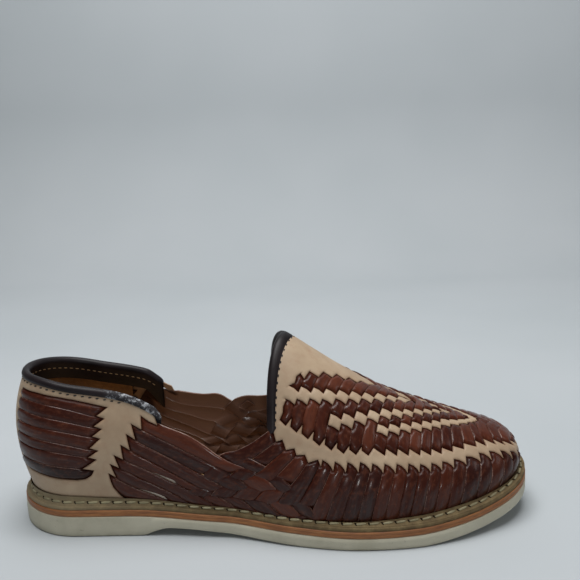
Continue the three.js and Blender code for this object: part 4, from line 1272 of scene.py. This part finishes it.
for side, word in ((LATERAL, "lateral"), (MEDIAL, "medial")):
    fine = [curve(fit_topline(line, side), LINE_POINTS) for line in FAN_EDGES]
    fan_mid = [(a + b) / 2 for a, b in zip(fine, fine[1:])]
    quarter_mid = [(curve(fit_topline(a, side), LINE_POINTS) + curve(fit_topline(b, side), LINE_POINTS)) / 2
                   for a, b in quarter_pairs]
    fan_marks, quarter_marks = weave_marks(fan_mid, quarter_mid)

    bundle = Bundle()
    for j, pair in enumerate(quarter_pairs):
        a, b = (curve(fit_topline(line, side), QUARTER_POINTS) for line in pair)
        if side == LATERAL:
            open_slits(a, j - 1, -0.5)
            open_slits(b, j, 0.9)
        lift = woven_lift(QUARTER_POINTS, quarter_marks[j], chart_length(a, b))
        tone = 0.85 if j == 1 else float(dye.uniform(0.15, 0.7))
        bundle.ribbon(a, b, lift, side, tone, tilt=0.2, overlap=-0.15)
    bundle.make("quarter_strips_" + word, lace)

    if side == LATERAL:
        slips = Bundle()
        for key, (lo, hi, _) in SLITS.items():
            mid = curve(QUARTER_EDGES[key], 200)
            mid = mid[(mid[:, 0] > lo - 1) & (mid[:, 0] < hi + 1)][::4]
            slips.ribbon(mid + [0, 2.2], mid - [0, 2.2], np.full(len(mid), -0.95), side, 1.0, crown=0.0,
                         overlap=0.0, thick=0.9)
        slips.make("pale_slips", pale_split)

    bundle = Bundle()
    for i in range(len(fan_mid)):
        n = 56 if i < 8 else 34
        a, b = (curve(fit_topline(line, side), n) for line in FAN_EDGES[i:i + 2])
        lift = woven_lift(n, fan_marks[i], chart_length(a, b))
        bundle.ribbon(a, b, lift, side, float(dye.uniform(0.2, 0.7)), tilt=0.14,
                      crown=0.3 if i < 4 else 0.5, overlap=-0.1 if i < 6 else 0.1)
    bundle.make("fan_strips_" + word, lace)

    bundle = Bundle()
    for j, (high, low) in enumerate(zip(HEEL_LINES, HEEL_LINES[1:])):
        a = curve([(11.0, high[0]), *zip(HEEL_AT, high), (72.5, high[-1] - 0.8)], 46)
        b = curve([(11.0, low[0]), *zip(HEEL_AT, low), (68.5, low[-1] - 0.2)], 46)
        lift = dive(46, chart_length(a, b), REST + 0.1, SUNK - 0.2, SUNK, 6.5, 4.5)
        tone = 0.0 if j == 6 else float(dye.uniform(0.35, 0.65))
        bundle.ribbon(a, b, lift, side, tone, tilt=0.2)
    bundle.make("counter_strips_" + word, lace)


def brown_rows(k):
    """(bottom, top) of the brown rows on strip k, up to the ridge, and the ridge's height."""
    ridge = float(wall_length((strip_u[k - 1] + strip_u[k]) / 2))
    stops = [main_top[k]]
    for band in (LOW_BAND, MIDDLE_BAND, HIGH_BAND):
        if k in band and band[k][0] < ridge - 1.5:
            stops += band[k]
    tops = stops[1::2] + [TONGUE[k] if k in TONGUE and TONGUE[k] < ridge - 2 else None]
    return list(zip(stops[::2], tops)), ridge


# Strips of the vamp: short ones between two bands on each side, and long ones over the ridge.
sides, over_top = Bundle(), Bundle()
for k in range(1, 19):
    rows, ridge = brown_rows(k)
    left_u, right_u = strip_u[k - 1] - (0.9 if k == 1 else 0.0), strip_u[k]
    for bottom, top in rows:
        if top is None or top > ridge - 1.0:
            if bottom > ridge + 4:
                continue
            bottom = min(bottom, ridge - 1.2)
            left = [(left_u, bottom + 0.3), (left_u, ridge),
                    (left_u, 2 * float(wall_length(left_u)) - bottom - 0.3)]
            right = [(right_u, bottom - 3.7), (right_u, ridge),
                     (right_u, 2 * float(wall_length(right_u)) - bottom + 3.7)]
            n = max(14, int((ridge - bottom) * 2 / 1.3))
            places, bundle = (LATERAL,), over_top
        else:
            left = [(left_u, bottom + 0.2), (left_u - 0.3, (bottom + top) / 2), (left_u, top + 4.0)]
            right = [(right_u, bottom - 4.0), (right_u - 0.3, (bottom + top) / 2 - 1), (right_u, top - 0.2)]
            n = max(12, int((top - bottom + 4) / 1.1))
            places, bundle = (LATERAL, MEDIAL), sides
        a, b = curve(left, n), curve(right, n)
        lift = dive(n, chart_length(a, b), REST + 0.2, SUNK, SUNK, 4.2, 4.2)
        for side in places:
            bundle.ribbon(a, b, lift, side, float(dye.uniform(0.35, 1.0)), overlap=0.15)
sides.make("vamp_strips_sides", lace)

# Edges of the last four strips, which cross the toe: from the main band to the toe line.
TOE_EDGES = [[(281.2, 28), (281.6, 38.6), (290, 47.6), (305.5, 44.4), (TOE_U, 40.2)],
             [(292, 25), (293.5, 31), (300, 36), (311, 34.5), (TOE_U, 32)],
             [(300, 21), (302, 25.5), (308, 28), (315, 26.5), (TOE_U, 25)],
             [(309, 15.5), (311, 18.5), (315, 19), (TOE_U, 16.5)],
             [(317.5, 12), (319, 13.6), (TOE_U, 13.2)]]
whole = [curve(line + [(2 * TOE_U - u, s) for u, s in line[-2::-1]], 54) for line in TOE_EDGES]
for a, b in zip(whole, whole[1:]):
    lift = dive(54, chart_length(a, b), REST + 0.15, SUNK, SUNK, 4.5, 4.5)
    over_top.ribbon(a, b, lift, LATERAL, float(dye.uniform(0.5, 1.0)), overlap=0.2)
over_top.make("vamp_strips_over_top", lace)

# ---------------------------------------------------------------------------
# Bindings: folded goat strips, nearly black, sewn over the cut edges of the heel and the
# throat; the heel's facing turned inside is held by one row of pale thread.
# ---------------------------------------------------------------------------
# Waxed goat: black-brown with a fine pebble and a soft shine. Where the collar's end is worn
# it is dry and grey and the finish flakes off pale.
goat, t, shader = material("folded goat binding, waxed black-brown", roughness=0.5, coat=0.05,
                           coat_roughness=0.25, specular=0.22)
scuff = mottle(t, 4.5, 5, 0.7)
worn = add(t, "ShaderNodeAttribute", attribute_name="worn").outputs["Fac"]
tint = add(t, "ShaderNodeValToRGB", {"Fac": mottle(t, 14, 4)},
           [(0.3, "#120c0e"), (0.7, "#221a1c")]).outputs["Color"]
tint = stain(t, tint, "#2c2a2d", worn)
tint = stain(t, tint, "#a6a8ac", worn, (scuff, 0.5, 0.6, 0.0, 1.0))
t.links.new(tint, shader.inputs["Base Color"])
t.links.new(weigh(t, (worn, 0, 1, 0.46, 0.85)), shader.inputs["Roughness"])
emboss(t, shader, (mottle(t, 0.9), 0.08, 0.6), (weigh(t, scuff, worn), 0.8, 0.8))
# Spun thread, dyed black: a plain dark dash on the binding's edge.
black_thread, t, shader = material("black polyester thread", roughness=0.5)
shader.inputs["Base Color"].default_value = srgb("#120d0d")
# Undyed lining thread: a plain pale dash on the dark facing.
pale_thread, t, shader = material("pale lining thread", roughness=0.7)
shader.inputs["Base Color"].default_value = srgb("#a98a63")


def sweep(sections):
    """Closed tube through rings of equal point count."""
    rings = np.array(sections)
    n, m = rings.shape[:2]
    faces = [(i * m + j, i * m + (j + 1) % m, (i + 1) * m + (j + 1) % m, (i + 1) * m + j)
             for i in range(n - 1) for j in range(m)]
    faces += [tuple(range(m - 1, -1, -1)), tuple((n - 1) * m + j for j in range(m))]
    verts = rings.reshape(-1, 3)
    return verts, outward_faces(verts - verts.mean(0), faces)


# Once round the heel binding: (lift off the last, height above the cut edge).
HEEL_BEAD = [(0.4, -2.7), (0.95, -2.45), (1.4, -1.5), (1.45, -0.4), (1.1, 0.6), (0.35, 1.3), (-0.7, 1.65),
             (-1.8, 1.45), (-2.7, 0.8), (-3.2, -0.2), (-3.3, -1.8), (-3.25, -4.0), (-3.3, -8.0),
             (-3.35, -11.6), (-3.1, -12.1), (-2.7, -12.0), (-2.6, -8.0), (-2.55, -4.0), (-1.8, -1.2),
             (-0.4, -0.9), (0.35, -1.6)]
COLLAR_END = {LATERAL: float(u_at(80.5)), MEDIAL: float(u_at(71.5))}
FACING_TOP = -3.2
lifts, rises = np.array(HEEL_BEAD).T
collar_u = np.concatenate([np.linspace(-COLLAR_END[MEDIAL], -60, 40)[:-1], np.linspace(-60, 60, 90),
                           np.linspace(60, COLLAR_END[LATERAL], 40)[1:]])
rings, wear, collar_seam = [], [], []
for u in collar_u:
    side = LATERAL if u >= 0 else MEDIAL
    s = topline_s(abs(u), side)[0]
    to_end = COLLAR_END[side] - abs(u)
    full = 0.35 + 0.65 * math.sqrt(max(0.0, 1 - (1 - min(1.0, to_end / 3.0)) ** 2))
    longer = 1 + 0.5 * max(0, 1 - to_end / 10.5)
    rise = np.where(rises < FACING_TOP, rises * longer, rises * full)
    rings.append(skin(np.full(len(lifts), abs(u)), s + rise, -0.9 + (lifts + 0.9) * full, side))
    rubbed = max(0.0, min(1.0, (u - 66) / 5.0))
    wear += [rubbed * (1.0 if lift > -3.0 else 0.15) for lift in lifts]
    collar_seam.append((u, s, side))
verts, faces = sweep(rings)
finish_piece(make_piece("heel_binding_folded", verts, faces, goat, 60, {"worn": np.array(wear)}),
             "heel_binding", "heel_binding")


def seam_points(drop, lift, lo, hi):
    """Points along the collar between two feather positions, and the way out from them."""
    p, out = [], []
    for u, s, side in collar_seam:
        if lo < u < hi:
            a = skin(abs(u), s + drop, lift, side)
            p.append(a)
            out.append(skin(abs(u), s + drop, lift + 1.0, side) - a)
    return np.array(p), np.array(out)


p, out = seam_points(-3.7, 0.3, -COLLAR_END[MEDIAL] + 2, 76)
sew("heel_binding_stitches", p, out, black_thread, "heel_binding", 3.9, 1.9, 0.8, 0.5, turn=0.25)
p, out = seam_points(-4.6, -3.35, -COLLAR_END[MEDIAL] + 5, COLLAR_END[LATERAL] - 5)
sew("heel_facing_stitches", p, -out, pale_thread, "heel_binding", 3.4, 2.2, 0.55, 0.4)

# Once round the throat binding: (forward of the cut edge, lift off the last).
THROAT_BEAD = [(2.6, -0.1), (2.2, 0.35), (1.0, 0.6), (-0.4, 0.75), (-1.6, 0.35), (-2.3, -0.6), (-2.5, -1.7),
               (-2.0, -2.7), (-0.9, -3.25), (2.0, -3.3), (6.0, -3.3), (11.4, -3.35), (11.8, -3.1),
               (11.6, -2.7), (6.0, -2.6), (2.0, -2.55), (0.6, -2.0), (0.8, -1.0)]
rings, seam, seam_out = [], [], []
for side, climb in ((LATERAL, np.linspace(0.0, 1.0, 90)), (MEDIAL, np.linspace(1.0, 0.0, 90)[1:])):
    for w in climb:
        full = 0.3 + 0.7 * min(1.0, w / 0.03)
        ring = []
        for forward, lift in THROAT_BEAD:
            u, s = throat_edge(w, side, forward * full)
            ring.append(skin(float(u), float(s), lift, side))
        rings.append(ring)
        if w > 0.05:
            u, s = throat_edge(w, side, 2.6)
            seam.append(skin(float(u), float(s), TAN_TOP + 0.05, side))
            seam_out.append(skin(float(u), float(s), TAN_TOP + 1.05, side) - seam[-1])
verts, faces = sweep(rings)
finish_piece(make_piece("throat_binding_folded", verts, faces, goat, 60, {"worn": np.zeros(len(verts))}),
             "throat_binding", "throat_binding")
sew("throat_stitches", np.array(seam), np.array(seam_out), black_thread, "throat_binding", 3.8, 1.7, 0.7, 0.5)

# ---------------------------------------------------------------------------
# Studio: a plain pale floor of painted board, bent up in a wide cove into a plain wall and
# lit by wide soft lamps, with one small lamp in front for the leather's glints.
# ---------------------------------------------------------------------------
# Emulsion on board: matt and even, with a very faint drift in its grey.
stage_paint, t, shader = material("matt studio board", roughness=0.9, specular=0.2)
tint = add(t, "ShaderNodeValToRGB", {"Fac": mottle(t, 260, 2)},
           [(0.3, "#b4babd"), (0.7, "#babfc2")]).outputs["Color"]
t.links.new(tint, shader.inputs["Base Color"])
WALL_AT, COVE = 900.0, 260.0
profile = [(-1500.0, 0.0)] + [(WALL_AT - COVE + COVE * math.sin(a), COVE - COVE * math.cos(a))
                              for a in np.linspace(0, math.pi / 2, 24)] + [(WALL_AT, 2200.0)]
verts = [(x / 1000, y / 1000, z / 1000) for y, z in profile for x in (-2200.0, 2200.0)]
faces = [(2 * i, 2 * i + 1, 2 * i + 3, 2 * i + 2) for i in range(len(profile) - 1)]
board = bpy.data.meshes.new("studio_sweep")
board.from_pydata(verts, [], faces)
board.polygons.foreach_set("use_smooth", np.ones(len(faces), bool))
board.materials.append(stage_paint)
floor = bpy.data.objects.new("studio_sweep", board)
bpy.context.scene.collection.objects.link(floor)
floor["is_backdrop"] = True

world = bpy.data.worlds.new("soft room")
world.use_nodes = True
world.node_tree.nodes["Background"].inputs["Color"].default_value = srgb("#e8ecf2")
world.node_tree.nodes["Background"].inputs["Strength"].default_value = 0.11
bpy.context.scene.world = world


def lamp(name, at, aim, size, power):
    """A square soft lamp, aimed at a point."""
    data = bpy.data.lights.new(name, "AREA")
    data.shape, data.size, data.energy = "SQUARE", size, power
    light = bpy.data.objects.new(name, data)
    light.location = at
    light.rotation_euler = (Vector(aim) - Vector(at)).to_track_quat("-Z", "Y").to_euler()
    bpy.context.scene.collection.objects.link(light)
    light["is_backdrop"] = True


lamp("overhead_softbox", (-0.08, -0.12, 1.2), (0, 0, 0), 0.8, 11.3)
lamp("front_glint", (0.1, -1.25, 0.38), (0.03, 0, 0.03), 0.16, 1.6)
lamp("right_fill", (1.2, -0.1, 0.7), (0, 0, 0.03), 0.6, 1.5)
lamp("wall_wash", (0, 0.3, 1.3), (0, 0.95, 0.35), 0.9, 7)

# The camera stands in front of the lateral side, a little above, and looks slightly down.
lens = bpy.data.cameras.new("studio_camera")
lens.lens, lens.sensor_width, lens.clip_start = 45.97, 36.0, 0.01
camera = bpy.data.objects.new("studio_camera", lens)
turn, fall, roll = math.radians(1.45), math.radians(12.12), math.radians(-1.54)
forward = Vector((-math.sin(turn) * math.cos(fall), math.cos(turn) * math.cos(fall), -math.sin(fall)))
right = Vector((math.cos(turn), math.sin(turn), 0))
upward = right.cross(forward)
axes = (right * math.cos(roll) + upward * math.sin(roll), upward * math.cos(roll) - right * math.sin(roll),
        -forward)
eye = metres((161.44, -401.08, 214.46))
camera.matrix_world = Matrix([[axes[0][i], axes[1][i], axes[2][i], eye[i]] for i in range(3)] + [[0, 0, 0, 1]])
bpy.context.scene.collection.objects.link(camera)
bpy.context.scene.camera = camera
bpy.context.scene.view_settings.view_transform = "Standard"

low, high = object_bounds()
